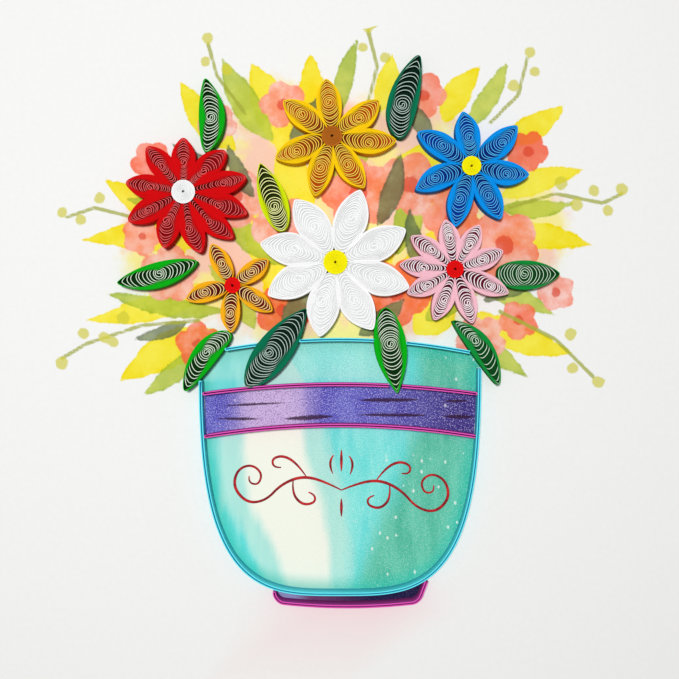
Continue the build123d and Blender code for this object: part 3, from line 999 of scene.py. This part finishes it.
def bouquet_depths(x, y):
    """Depth and tone of each kind of printed shape at a place."""
    depths = {}
    for kind, shapes in PRINT_LEAVES.items():
        depth, tone = max((leaf_depth(shape, x, y), shape[-1]) for shape in shapes)
        depths[kind] = (max(FAR_AWAY, depth), tone, 0.0)
    depth, tone = max((blossom_depth(shape, x, y), shape[-1]) for shape in PRINT_BLOSSOMS)
    heart = max(
        radius * BLOSSOM_HEART - hypot(x - place[0], y - place[1]) for place, radius, *_ in PRINT_BLOSSOMS
    )
    depths["bloom"] = (depth, tone, max(FAR_AWAY, heart))
    stem = max(stem_depth(line, x, y) for line in PRINT_STEMS)
    bud = max(radius - hypot(x - bud_x, y - bud_y) for bud_x, bud_y, radius in PRINT_BUDS)
    wash = max(
        (1 - hypot((x - middle_x) / half_x, (y - middle_y) / half_y)) * min(half_x, half_y)
        for middle_x, middle_y, half_x, half_y in PRINT_WASHES
    )
    depths["sprig"] = (stem, max(FAR_AWAY, bud), max(FAR_AWAY, wash))
    return depths


def along_table(table, y, column):
    """A value between the rows of a table whose first column falls."""
    for upper, lower in zip(table, table[1:]):
        if y >= lower[0]:
            return between(upper[column], lower[column], clamp((upper[0] - y) / (upper[0] - lower[0])))
    return table[-1][column]


def corner_depth(across, up):
    """How far inside the foot's rounded corner a place lies."""
    if across < FOOT_CORNER and up < FOOT_CORNER:
        return FOOT_CORNER - hypot(FOOT_CORNER - across, FOOT_CORNER - up)
    return min(across, up)


def bowl_depths(x, y):
    """How far inside the printed bowl, its band and its foot a place lies."""
    offset = (x - BOWL_MIDDLE) ** 2
    wall = FAR_AWAY
    if y > WALL_TOPS[x > BOWL_MIDDLE]:
        wall = bowl_half(y) + ABOVE_WALL - abs(x - BOWL_MIDDLE)
    elif y > BOWL_BOTTOM:
        wall = min(bowl_half(y) - abs(x - BOWL_MIDDLE), y - BOWL_BOTTOM - bowl_side(x))
    bowl = min(wall, RIM_TOP - RIM_SAG * offset - y)
    band = min(BAND_TOP - BAND_TOP_SAG * offset - y, y - BAND_LOW + BAND_LOW_SAG * offset)
    middle = (FOOT_LEFT + FOOT_RIGHT) / 2
    reach = (FOOT_RIGHT - FOOT_LEFT) / 2
    ground = BOWL_BOTTOM - FOOT_DEPTH + FOOT_BOW * ((x - middle) / reach) ** 2
    low = clamp((y - ground) / FOOT_DEPTH)
    right_edge = FOOT_RIGHT - FOOT_RIGHT_SLANT * (1 - low)
    left_corner = corner_depth(x - FOOT_LEFT - FOOT_PRINT_INSET, y - ground)
    foot = min(left_corner, corner_depth(right_edge - x, y - ground), -wall)
    return max(FAR_AWAY, bowl), max(FAR_AWAY, band), max(FAR_AWAY, foot)


def brush_depths(x, y):
    """How far above each row of brush marks a place lies, and how thick the marks are there."""
    depths = []
    widths = []
    for marks in BRUSH_ROWS:
        start, start_y, end, end_y, thick = min(marks, key=lambda mark: abs(x - (mark[0] + mark[2]) / 2))
        share = clamp((x - start) / (end - start))
        depths.append(clamp(y - between(start_y, end_y, share), FAR_AWAY, -FAR_AWAY))
        widths.append(thick * sin(pi * share) ** 0.6 if 0 < share < 1 else 0.0)
    return depths, widths


def print_depths(x, y, front):
    """Every field that the card's finish reads at a place, which may lie on the printed front."""
    depths = {name: (FAR_AWAY, 0.5, FAR_AWAY) for name in (*PRINT_LEAVES, "bloom")}
    depths["sprig"] = depths["bowl"] = (FAR_AWAY, FAR_AWAY, FAR_AWAY)
    if front and y > BOUQUET_LOW:
        depths.update(bouquet_depths(x, y))
    if front and y < BOWL_PRINT_TOP and abs(x) < BOWL_PRINT_HALF:
        depths["bowl"] = bowl_depths(x, y)
    depths["streak"] = (
        (x - along_table(STREAK, y, 1)) / along_table(STREAK, y, 2),
        x - along_table(GREEN_EDGE, y, 1),
        (x - LAVENDER_MIDDLE) / LAVENDER_HALF,
    )
    heights, widths = brush_depths(x, y)
    depths["brush"] = (*heights, 0)
    depths["brush_width"] = (*widths, 0)
    return depths


def card_finish(settings):
    """Card stock with its printed front: every field's edge is broken up as wet paint is."""
    finish = Finish("card_stock_printed", roughness=0.7)
    step = finish.step
    tint = finish.tint
    place = finish.place()
    _, up, _ = finish.parts(place)
    grain = finish.noise(place, 4200, 2, 0.6)
    tooth = finish.noise(place, 900, 4, 0.6)
    cloud = finish.noise(place, 130, 3)
    wet = finish.noise(place, 420, 4, 0.6)
    broken = (wet - 0.5) * 3.4 + (grain - 0.5) * 0.6
    mottled = step(cloud * 0.6 + wet * 0.4, 0.36, 0.62)

    def wash(below, depth, soft, colour, strength=1.0):
        mask = step(depth + broken * soft, -0.1, 0.18 + soft * 0.3) * strength
        return finish.blend(mask, below, colour)

    def leaves(below, kind, soft, light, dark, strength=1.0):
        """Printed leaves of one kind, in paint that gathers at their edges and lies unevenly."""
        depth, tone, _ = finish.attribute_parts(kind)
        rim = step(depth, 0.0, 0.9, 0.35, 0.0)
        share = (tone * 0.5 + mottled * 0.5 + rim).at_most(1.0)
        return wash(below, depth, soft, finish.two_tone(share, light, dark), strength)

    card = tint(step(tooth, 0.3, 0.7, 0.0, 0.3), tuple(settings.card), 242, 242, 240)
    picture = tint(finish.attribute("blush"), card, 247, 222, 222)
    sprig, bud, soak = finish.attribute_parts("sprig")
    blots = finish.noise(place, 95, 3)
    soft_wash = finish.two_tone(step(blots, 0.42, 0.58), (252, 236, 110), (252, 196, 164))
    picture = finish.blend(step(soak + broken * 1.6, -0.5, 4.0) * 0.8, picture, soft_wash)
    picture = leaves(picture, "lemon", 0.5, (252, 242, 90), (244, 222, 0))
    picture = leaves(picture, "grass", 0.5, (214, 220, 80), (160, 184, 30), 0.92)
    bloom, bloom_tone, bloom_heart = finish.attribute_parts("bloom")
    shade = bloom_tone * 0.62 + mottled * 0.4 - step(bloom, 0.0, 0.8, 0.0, 0.08)
    stops = [
        (0.0, screen(255, 216, 208)), (0.35, screen(252, 160, 140)),
        (0.65, screen(250, 116, 76)), (1.0, screen(244, 80, 20)),
    ]
    petals = finish.node("ShaderNodeValToRGB", {"stops": stops}, {0: shade}).outputs[0]
    picture = wash(picture, bloom, 0.45, petals, 0.92)
    picture = wash(picture, bloom_heart, 0.5, screen(226, 70, 40), 0.75)
    picture = leaves(picture, "moss", 0.4, (140, 154, 92), (74, 94, 66), 0.85)
    picture = wash(picture, sprig, 0.15, screen(170, 176, 60), 0.85)
    picture = wash(picture, bud, 0.35, screen(214, 208, 60), 0.8)

    bowl, band, foot = finish.attribute_parts("bowl")
    streak, green, lavender = finish.attribute_parts("streak")
    sweep = finish.noise(finish.stretched(place, 0.22), 330, 3)
    drift = (sweep - 0.5) * 0.9
    strokes = step(sweep, 0.3, 0.7)
    glaze = finish.two_tone(strokes, (98, 224, 220), (142, 238, 230))
    jade = finish.two_tone(strokes, (72, 186, 156), (110, 208, 180))
    glaze = finish.blend(step(green + drift * 8.0, -2.0, 4.0), glaze, jade)
    glaze = tint(step((streak + drift * 0.9).size(), 2.0, 1.5) * 0.62, glaze, 210, 240, 226)
    cream = step((streak + drift * 0.5).size(), 1.2, 0.75)
    cream = cream * step(up, (CREAM_TOP + 1) * MM, (CREAM_TOP - 1) * MM)
    glaze = tint(cream * 0.95, glaze, 252, 252, 238)
    glaze = tint(step(bowl, 4.0, 0.0, 0.0, 0.65), glaze, 24, 196, 174)
    haze = step(up, HAZE_LOW * MM, HAZE_HIGH * MM, 0.0, 0.3) * step(green, 0.0, -10.0)
    glaze = tint(haze, glaze, 206, 238, 228)
    drops_at = {"Vector": finish.stretched(place, 0.7), "Scale": 560}
    drops = finish.node("ShaderNodeTexVoronoi", {"feature": "F1"}, drops_at)
    drop_chance, _, _ = finish.parts(drops.outputs["Color"])
    specks = step(Value(finish, drops.outputs["Distance"]), 0.2, 0.1) * step(drop_chance, 0.5, 0.6)
    glaze = tint(specks * step(green, -8.0, 0.0) * 0.8, glaze, 240, 250, 242)
    spray = finish.noise(place, 4300, 2, 0.7)
    bright = step(spray, 0.55, 0.66)
    dim = step(spray, 0.47, 0.36)
    rough = step(streak, 0.0, 2.2)
    glaze = tint(bright * (rough * 0.24 + 0.08), glaze, 240, 250, 248)
    glaze = tint(dim * (rough * 0.26 + 0.04), glaze, 40, 150, 134)

    violet = finish.two_tone(step(cloud, 0.35, 0.65), (92, 88, 192), (116, 118, 208))
    violet = tint(step(green, -12.0, 12.0) * 0.95, violet, 58, 38, 124)
    violet = tint(step((lavender + drift * 0.6).size(), 1.25, 0.35) * 0.9, violet, 216, 190, 230)
    violet = tint(bright * 0.8, violet, 220, 212, 250)
    violet = tint(dim * 0.7, violet, 44, 34, 120)
    violet = tint(specks * 0.5, violet, 250, 248, 255)
    high, low, _ = finish.attribute_parts("brush")
    high_width, low_width, _ = finish.attribute_parts("brush_width")
    ragged = (grain - 0.5) * 2.2 + (wet - 0.5) * 0.8
    marks = step(high_width - high.size() + ragged * high_width, 0.0, 0.2)
    marks = marks.at_least(step(low_width - low.size() + ragged * low_width, 0.0, 0.2))
    violet = tint(marks * 0.9, violet, 54, 22, 52)
    glaze = finish.blend(step(band, -0.15, 0.15), glaze, violet)
    picture = finish.blend(step(bowl, -0.1, 0.1), picture, glaze)
    plum = finish.two_tone(step(green, -12.5, -7.5), (146, 150, 196), (118, 60, 112))
    plum = tint(step(green, -11.0, 7.0), plum, 26, 22, 68)
    plum = tint(bright * 0.15, plum, 190, 160, 210)
    finish.colour(finish.blend(step(foot, -0.1, 0.1), picture, plum))
    finish.bump(tooth * 0.7 + grain * 0.3, 0.00006, 0.6)
    return finish.material


def printed_card(settings):
    """The folded card with a fine grid where its front is printed."""
    obj = bpy.data.objects.new("folded_card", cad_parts["card"].data.copy())
    bpy.context.collection.objects.link(obj)
    mesh = obj.data
    mesh.name = "folded_card"
    mesh.materials.clear()
    only(obj)
    bpy.ops.object.mode_set(mode="EDIT")
    bpy.ops.mesh.select_all(action="SELECT")
    bpy.ops.mesh.remove_doubles(threshold=1e-6)
    bpy.ops.mesh.dissolve_limited(angle_limit=radians(1))
    bpy.ops.object.mode_set(mode="OBJECT")

    def on_front(place):
        return abs(place.z - CARD_TOP * MM) < 1e-5

    def front_face(face):
        return face.normal.z > 0.9 and on_front(face.center)

    cuts = [((0, y * MM, 0), (0, 1, 0)) for y in PRINT_ROWS]
    cuts += [((x * MM, 0, 0), (1, 0, 0)) for x in PRINT_COLUMNS]
    for place, across in cuts:
        select_faces(obj, front_face)
        bpy.ops.mesh.bisect(plane_co=place, plane_no=across)
        bpy.ops.object.mode_set(mode="OBJECT")

    highest, *_, lowest = PRINT_ROWS
    widest = PRINT_COLUMNS[-1]

    def printed(face):
        y = face.center.y / MM
        half = widest if y > PRINT_WAIST else PRINT_LOW_HALF
        return front_face(face) and abs(face.center.x / MM) < half and lowest < y < highest

    select_faces(obj, printed)
    bpy.ops.mesh.subdivide(number_cuts=PRINT_CUTS)
    bpy.ops.object.mode_set(mode="OBJECT")

    mesh.attributes.new("blush", "FLOAT", "POINT")
    names = ("lemon", "grass", "moss", "bloom", "sprig", "bowl", "streak", "brush", "brush_width")
    fields = dict(zip(names, new_attributes(mesh, names, "FLOAT_VECTOR")))
    blush = mesh.attributes["blush"].data
    for vertex in mesh.vertices:
        x = vertex.co.x / MM
        y = vertex.co.y / MM
        front = on_front(vertex.co) and abs(x) < widest + 1 and lowest - 1 < y < highest + 1
        for name, value in print_depths(x, y, front).items():
            fields[name][vertex.index].vector = value
        if front and y < BLUSH_TOP:
            away = hypot((x - BLUSH_MIDDLE[0]) / BLUSH_STRETCH, y - BLUSH_MIDDLE[1])
            blush[vertex.index].value = BLUSH_STRENGTH * (1 - smooth_share(away, *BLUSH_FADE))
    mesh.materials.append(card_finish(settings))
    return obj


# A red pen flourish across the bowl: scrolls without letters, each a line of places and pen widths
FLOURISH = [
    [
        (0.4, -32.0, 0.5), (-3.4, -30.2, 1.0), (-8.0, -29.4, 1.2), (-12.4, -31.4, 1.0),
        (-15.6, -35.0, 0.9), (-19.6, -35.8, 1.1), (-22.6, -32.6, 1.2), (-21.8, -28.8, 1.0),
        (-18.8, -27.4, 0.9), (-16.4, -29.2, 0.9), (-17.2, -31.8, 0.8), (-19.4, -31.4, 0.7),
        (-19.2, -30.0, 0.5),
    ],
    [
        (-7.0, -29.6, 0.4), (-8.8, -27.0, 0.9), (-11.8, -25.2, 1.1), (-14.4, -26.0, 0.9),
        (-14.0, -28.0, 0.8), (-12.4, -27.8, 0.5),
    ],
    [
        (-9.8, -30.0, 0.4), (-10.2, -33.0, 0.9), (-8.0, -35.6, 1.1), (-5.2, -35.0, 0.9),
        (-5.2, -33.2, 0.8), (-6.6, -32.8, 0.5),
    ],
    [(-1.4, -28.6, 0.3), (-2.6, -26.2, 1.6), (-1.2, -24.6, 0.3)],
    [(0.4, -28.0, 0.3), (0.4, -25.6, 1.9), (0.4, -23.4, 0.3)],
    [(0.4, -33.8, 0.3), (0.4, -35.6, 1.9), (0.4, -37.6, 0.3)],
]
FLOURISH_MIDDLE = 0.4
FLOURISH_SLOPE = 0.05
PEN_HALF = 0.27
# How flat the pen's round line lies, and how high its middle
INK_FLATNESS = 0.06
INK_LIFT = 0.01


def flourish(material):
    """The pen's scrolls, left and mirrored right, as a film of ink on the card."""
    curve = bpy.data.curves.new("ink_flourish", "CURVE")
    curve.dimensions = "3D"
    curve.bevel_depth = PEN_HALF * MM
    curve.bevel_resolution = 2
    curve.resolution_u = 10
    scrolls = [stroke for stroke in FLOURISH if stroke[1][0] != FLOURISH_MIDDLE]
    for side, strokes in ((1, FLOURISH), (-1, scrolls)):
        for stroke in strokes:
            spline = curve.splines.new("NURBS")
            spline.points.add(len(stroke) - 1)
            for point, (x, y, width) in zip(spline.points, stroke):
                place = FLOURISH_MIDDLE + side * (x - FLOURISH_MIDDLE)
                point.co = (place * MM, (y - FLOURISH_SLOPE * place) * MM, 0, 1)
                point.radius = width
            spline.order_u = 3
            spline.use_endpoint_u = True
    obj = as_mesh("ink_flourish", curve)
    for vertex in obj.data.vertices:
        vertex.co.z = CARD_TOP * MM + vertex.co.z * INK_FLATNESS + INK_LIFT * MM
    obj.data.materials.append(material)
    return obj


def ink_finish():
    """Red ink, darker where the pen lingered."""
    finish = Finish("red_pen_ink", roughness=0.6)
    place = finish.place()
    pool = finish.noise(place, 520, 2)
    grain = finish.noise(place, 4200, 2)
    share = finish.step(pool * 0.7 + grain * 0.3, 0.4, 0.6)
    finish.colour(finish.two_tone(share, (206, 40, 44), (140, 22, 34)))
    finish.bump(grain, 0.00002, 0.4)
    return finish.material


# Settings a user would change


def length_property(name, description, millimetres, low, high):
    return FloatProperty(
        name=name,
        description=description,
        default=millimetres * MM,
        min=low * MM,
        max=high * MM,
        subtype="DISTANCE",
        unit="LENGTH",
        precision=5,
    )


def colour_property(name, description, red, green, blue):
    return FloatVectorProperty(
        name=name,
        description=description,
        default=screen(red, green, blue),
        min=0,
        max=1,
        size=3,
        subtype="COLOR",
    )


class QuillingSizes(bpy.types.PropertyGroup):
    """Sizes of the paper strips and how they are wound"""

    strip_height: length_property("Strip height", "How high the strips stand", 3.0, 1.0, 10.0)
    roll_paper: length_property("Roll paper", "Thickness of the tight rolls' paper", 0.23, 0.05, 0.4)
    paper_folded: length_property("Folded paper", "Thickness of one ply of a folded strip", 0.22, 0.05, 0.4)
    fold_gap: length_property("Fold gap", "Gap between the plies of a folded strip", 0.26, 0.0, 0.5)


class QuillingColours(bpy.types.PropertyGroup):
    """Colours of the papers and the card"""

    card: colour_property("Card", "Card stock", 248, 248, 246)
    red: colour_property("Red", "Red petals", 216, 0, 6)
    amber: colour_property("Amber", "Amber petals", 255, 208, 6)
    blue: colour_property("Blue", "Blue petals", 0, 148, 238)
    white: colour_property("White", "White petals", 254, 254, 254)
    pink: colour_property("Pink", "Pink petals", 253, 196, 210)
    orange: colour_property("Orange", "Orange petals", 255, 182, 22)
    green: colour_property("Green", "Mid green leaves", 0, 178, 18)
    shade_green: colour_property("Shade green", "The two cooler green leaves", 10, 146, 58)
    dark_green: colour_property("Dark green", "Dark green leaves", 0, 118, 82)
    lime: colour_property("Lime", "Lime leaf", 212, 232, 0)
    brown: colour_property("Brown", "Amber flower's centre", 186, 104, 26)
    yellow: colour_property("Yellow", "Blue and white flowers' centres", 255, 248, 2)
    crimson: colour_property("Crimson", "Pink and orange flowers' centres", 240, 8, 10)
    cyan: colour_property("Cyan", "Bowl outline and rim", 108, 244, 255)
    magenta: colour_property("Magenta", "Band and foot strips", 238, 92, 196)


# Each paper's top edge colour where a turn stands free, partly its cut edge and partly a painted
# highlight, and the painted shade between its turns
EDGE_HIGHLIGHTS_AND_SHADES = {
    "red": ((255, 112, 112), (136, 0, 10)),
    "amber": ((255, 218, 88), (180, 70, 0)),
    "blue": ((92, 192, 252), (0, 50, 150)),
    "white": ((254, 254, 254), (228, 230, 230)),
    "pink": ((255, 246, 250), (116, 16, 44)),
    "orange": ((255, 222, 156), (118, 16, 12)),
    "green": ((232, 248, 224), (4, 48, 8)),
    "shade_green": ((214, 242, 214), (6, 74, 26)),
    "dark_green": ((192, 216, 204), (4, 34, 24)),
    "lime": ((254, 254, 180), (40, 52, 0)),
    "brown": ((200, 130, 66), (150, 80, 20)),
    "yellow": ((255, 250, 130), (248, 228, 0)),
    "crimson": ((244, 80, 80), (206, 0, 6)),
    "cyan": ((190, 238, 250), (12, 120, 162)),
    "magenta": ((236, 130, 204), (84, 0, 52)),
}


def paper(context, colour):
    """The finish of one paper, made once."""
    name = colour + "_strip_paper"
    made = bpy.data.materials.get(name)
    if made:
        return made
    edge, gap_shade = (screen(*part) for part in EDGE_HIGHLIGHTS_AND_SHADES[colour])
    return paper_finish(name, tuple(getattr(context.scene.quilling_colours, colour)), edge, gap_shade)


def finished(obj, slot, *nodes):
    """Fix a finished piece to the model's root and hide any of the model's parts that it stands for."""
    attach(obj, "root")
    if nodes:
        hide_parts(*nodes)


def finished_coil(context, name, lines, form, colour, node):
    """Wind coils as their form says, and let them stand for a node."""
    material = paper(context, colour)
    obj = strip_on_edge(name, lines, form["pitch"], material, form["arc"], form["floor"])
    finished(obj, ("green" if colour == "shade_green" else colour) + "_paper", node)


def finished_fold(context, paths, depth, colour, node):
    """Stand folded strips along paths, and let them stand for a node."""
    sizes = context.scene.quilling_sizes
    lines = [line for path in paths for line in doubled(path, sizes, depth)]
    obj = strip_on_edge(node + "_paper", lines, sizes.paper_folded / MM, paper(context, colour))
    finished(obj, colour + "_paper", node)


class QUILLING_OT_card(bpy.types.Operator):
    """Make the folded card with its printed front"""

    bl_idname = "quilling.card"
    bl_label = "Printed card"

    def execute(self, context):
        finished(printed_card(context.scene.quilling_colours), "card_paper", "card")
        return {"FINISHED"}


class QUILLING_OT_flourish(bpy.types.Operator):
    """Draw the pen flourish on the bowl"""

    bl_idname = "quilling.flourish"
    bl_label = "Pen flourish"

    def execute(self, context):
        finished(flourish(ink_finish()), "card_paper")
        return {"FINISHED"}


class QUILLING_OT_petals(bpy.types.Operator):
    """Wind every flower's petals"""

    bl_idname = "quilling.petals"
    bl_label = "Petals"

    def execute(self, context):
        height = context.scene.quilling_sizes.strip_height / MM
        for colour, flower in FLOWERS.items():
            form = {**COIL_FORM, **flower}
            lines = flower_lines(form, height)
            if colour == "red":
                finished_coil(context, "red_coils", lines, form, colour, "red_petals")
                continue
            for number, line in enumerate(lines, 1):
                name = f"{colour}_coil_{number}"
                finished_coil(context, name, [line], form, colour, f"{colour}_petal_{number}")
        return {"FINISHED"}


class QUILLING_OT_rolls(bpy.types.Operator):
    """Roll up the flowers' centres"""

    bl_idname = "quilling.rolls"
    bl_label = "Flower centres"

    def execute(self, context):
        sizes = context.scene.quilling_sizes
        for name, colour in ROLL_COLOURS.items():
            flower = FLOWERS[name]
            lines = [roll_line(flower["centre"], flower["roll"], sizes.strip_height / MM)]
            holes = [roll_hole(flower["centre"])]
            thickness = sizes.roll_paper / MM
            material = paper(context, colour)
            obj = strip_on_edge(name + "_roll", lines, thickness, material, shade_floor_height=ROLL_FLOOR, holes=holes)
            finished(obj, colour + "_paper", name + "_flower_centre")
        return {"FINISHED"}


class QUILLING_OT_leaves(bpy.types.Operator):
    """Wind the leaves"""

    bl_idname = "quilling.leaves"
    bl_label = "Leaves"

    def execute(self, context):
        height = context.scene.quilling_sizes.strip_height / MM
        for name, leaf in LEAVES.items():
            tip, heading, length, width, lean, belly, *powers, heart_along, heart_beside = leaf
            form = {**COIL_FORM, **LEAF_FORM, **LEAF_FORMS.get(name, {})}
            heart = (heart_along, heart_beside)
            coil = Coil(length, width, lean, belly, powers, heart, form, height)
            lines = [placed(coil.line(), tip, heading)]
            finished_coil(context, name + "_coil", lines, form, LEAF_COLOURS.get(name, "green"), name)
        return {"FINISHED"}


class QUILLING_OT_bowl(bpy.types.Operator):
    """Stand the bowl's outline and its rim on the card"""

    bl_idname = "quilling.bowl"
    bl_label = "Bowl and rim"

    def execute(self, context):
        paths = {"bowl_strip": bowl_path()}
        for name, (start, end) in RIM_SPANS.items():
            paths[name] = arch(start, end, RIM_TOP, RIM_SAG)
        for name, path in paths.items():
            finished_fold(context, [path], CYAN_FOLD, "cyan", name)
        return {"FINISHED"}


class QUILLING_OT_band(bpy.types.Operator):
    """Stand the band's strips and the foot's strip on the card"""

    bl_idname = "quilling.band"
    bl_label = "Band and foot"

    def execute(self, context):
        ends = wall_to_wall(BAND_TOP, BAND_TOP_SAG)
        upper = [arch(end, cut, BAND_TOP, BAND_TOP_SAG) for end, cut in zip(ends, BAND_CUT)]
        lower = [arch(*wall_to_wall(BAND_LOW, BAND_LOW_SAG), BAND_LOW, BAND_LOW_SAG)]
        strips = {"band_strips_upper": upper, "band_strip_lower": lower, "foot_strip": [foot_path()]}
        for name, paths in strips.items():
            finished_fold(context, paths, MAGENTA_FOLD, "magenta", name)
        return {"FINISHED"}


class QUILLING_OT_stage(bpy.types.Operator):
    """Lay the floor and set the light and the camera"""

    bl_idname = "quilling.stage"
    bl_label = "Stage"

    def execute(self, context):
        bpy.ops.object.select_all(action="DESELECT")
        bpy.ops.mesh.primitive_plane_add(size=FLOOR_SIZE, location=(0, 0, FLOOR_HEIGHT))
        floor = context.object
        floor.name = "floor"
        finish = Finish("pale_floor", roughness=0.9)
        cloud = finish.noise(finish.place(), 6, 3)
        finish.colour(finish.two_tone(cloud, (226, 226, 224), (234, 234, 232)))
        floor.data.materials.append(finish.material)

        world = bpy.data.worlds.new("studio")
        context.scene.world = world
        world.use_nodes = True
        background = world.node_tree.nodes["Background"]
        background.inputs[0].default_value = (1, 1, 1, 1)
        background.inputs[1].default_value = WORLD_LIGHT

        light = bpy.data.lights.new("window", "AREA")
        light.size = WINDOW_SIZE
        light.energy = WINDOW_POWER
        window = bpy.data.objects.new("window", light)
        window.location = WINDOW_PLACE
        window.rotation_euler = (-Vector(WINDOW_PLACE)).to_track_quat("-Z", "Y").to_euler()
        context.collection.objects.link(window)

        camera = bpy.data.cameras.new("camera")
        camera.angle = radians(CAMERA_ANGLE)
        camera.clip_start = 0.01
        viewer = bpy.data.objects.new("camera", camera)
        viewer.location = (0, 0, CAMERA_HEIGHT)
        context.collection.objects.link(viewer)
        context.scene.camera = viewer
        context.scene.view_settings.view_transform = "Standard"
        return {"FINISHED"}


OPERATORS = (
    QUILLING_OT_card,
    QUILLING_OT_flourish,
    QUILLING_OT_petals,
    QUILLING_OT_rolls,
    QUILLING_OT_leaves,
    QUILLING_OT_bowl,
    QUILLING_OT_band,
    QUILLING_OT_stage,
)


class QUILLING_PT_panel(bpy.types.Panel):
    """The quilled card's pieces and settings"""

    bl_idname = "QUILLING_PT_panel"
    bl_label = "Quilled bowl of flowers"
    bl_space_type = "VIEW_3D"
    bl_region_type = "UI"
    bl_category = "Quilling"

    def draw(self, context):
        column = self.layout.column()
        for operator in OPERATORS:
            column.operator(operator.bl_idname)
        for group in (context.scene.quilling_sizes, context.scene.quilling_colours):
            for name in group.__annotations__:
                column.prop(group, name)


CLASSES = (QuillingSizes, QuillingColours, *OPERATORS, QUILLING_PT_panel)


def register():
    for made in CLASSES:
        bpy.utils.register_class(made)
    bpy.types.Scene.quilling_sizes = PointerProperty(type=QuillingSizes)
    bpy.types.Scene.quilling_colours = PointerProperty(type=QuillingColours)


def unregister():
    del bpy.types.Scene.quilling_sizes
    del bpy.types.Scene.quilling_colours
    for made in reversed(CLASSES):
        bpy.utils.unregister_class(made)


def main():
    register()
    bpy.ops.quilling.card()
    bpy.ops.quilling.flourish()
    bpy.ops.quilling.petals()
    bpy.ops.quilling.rolls()
    bpy.ops.quilling.leaves()
    bpy.ops.quilling.bowl()
    bpy.ops.quilling.band()
    bpy.ops.quilling.stage()


if __name__ == "__main__":
    main()
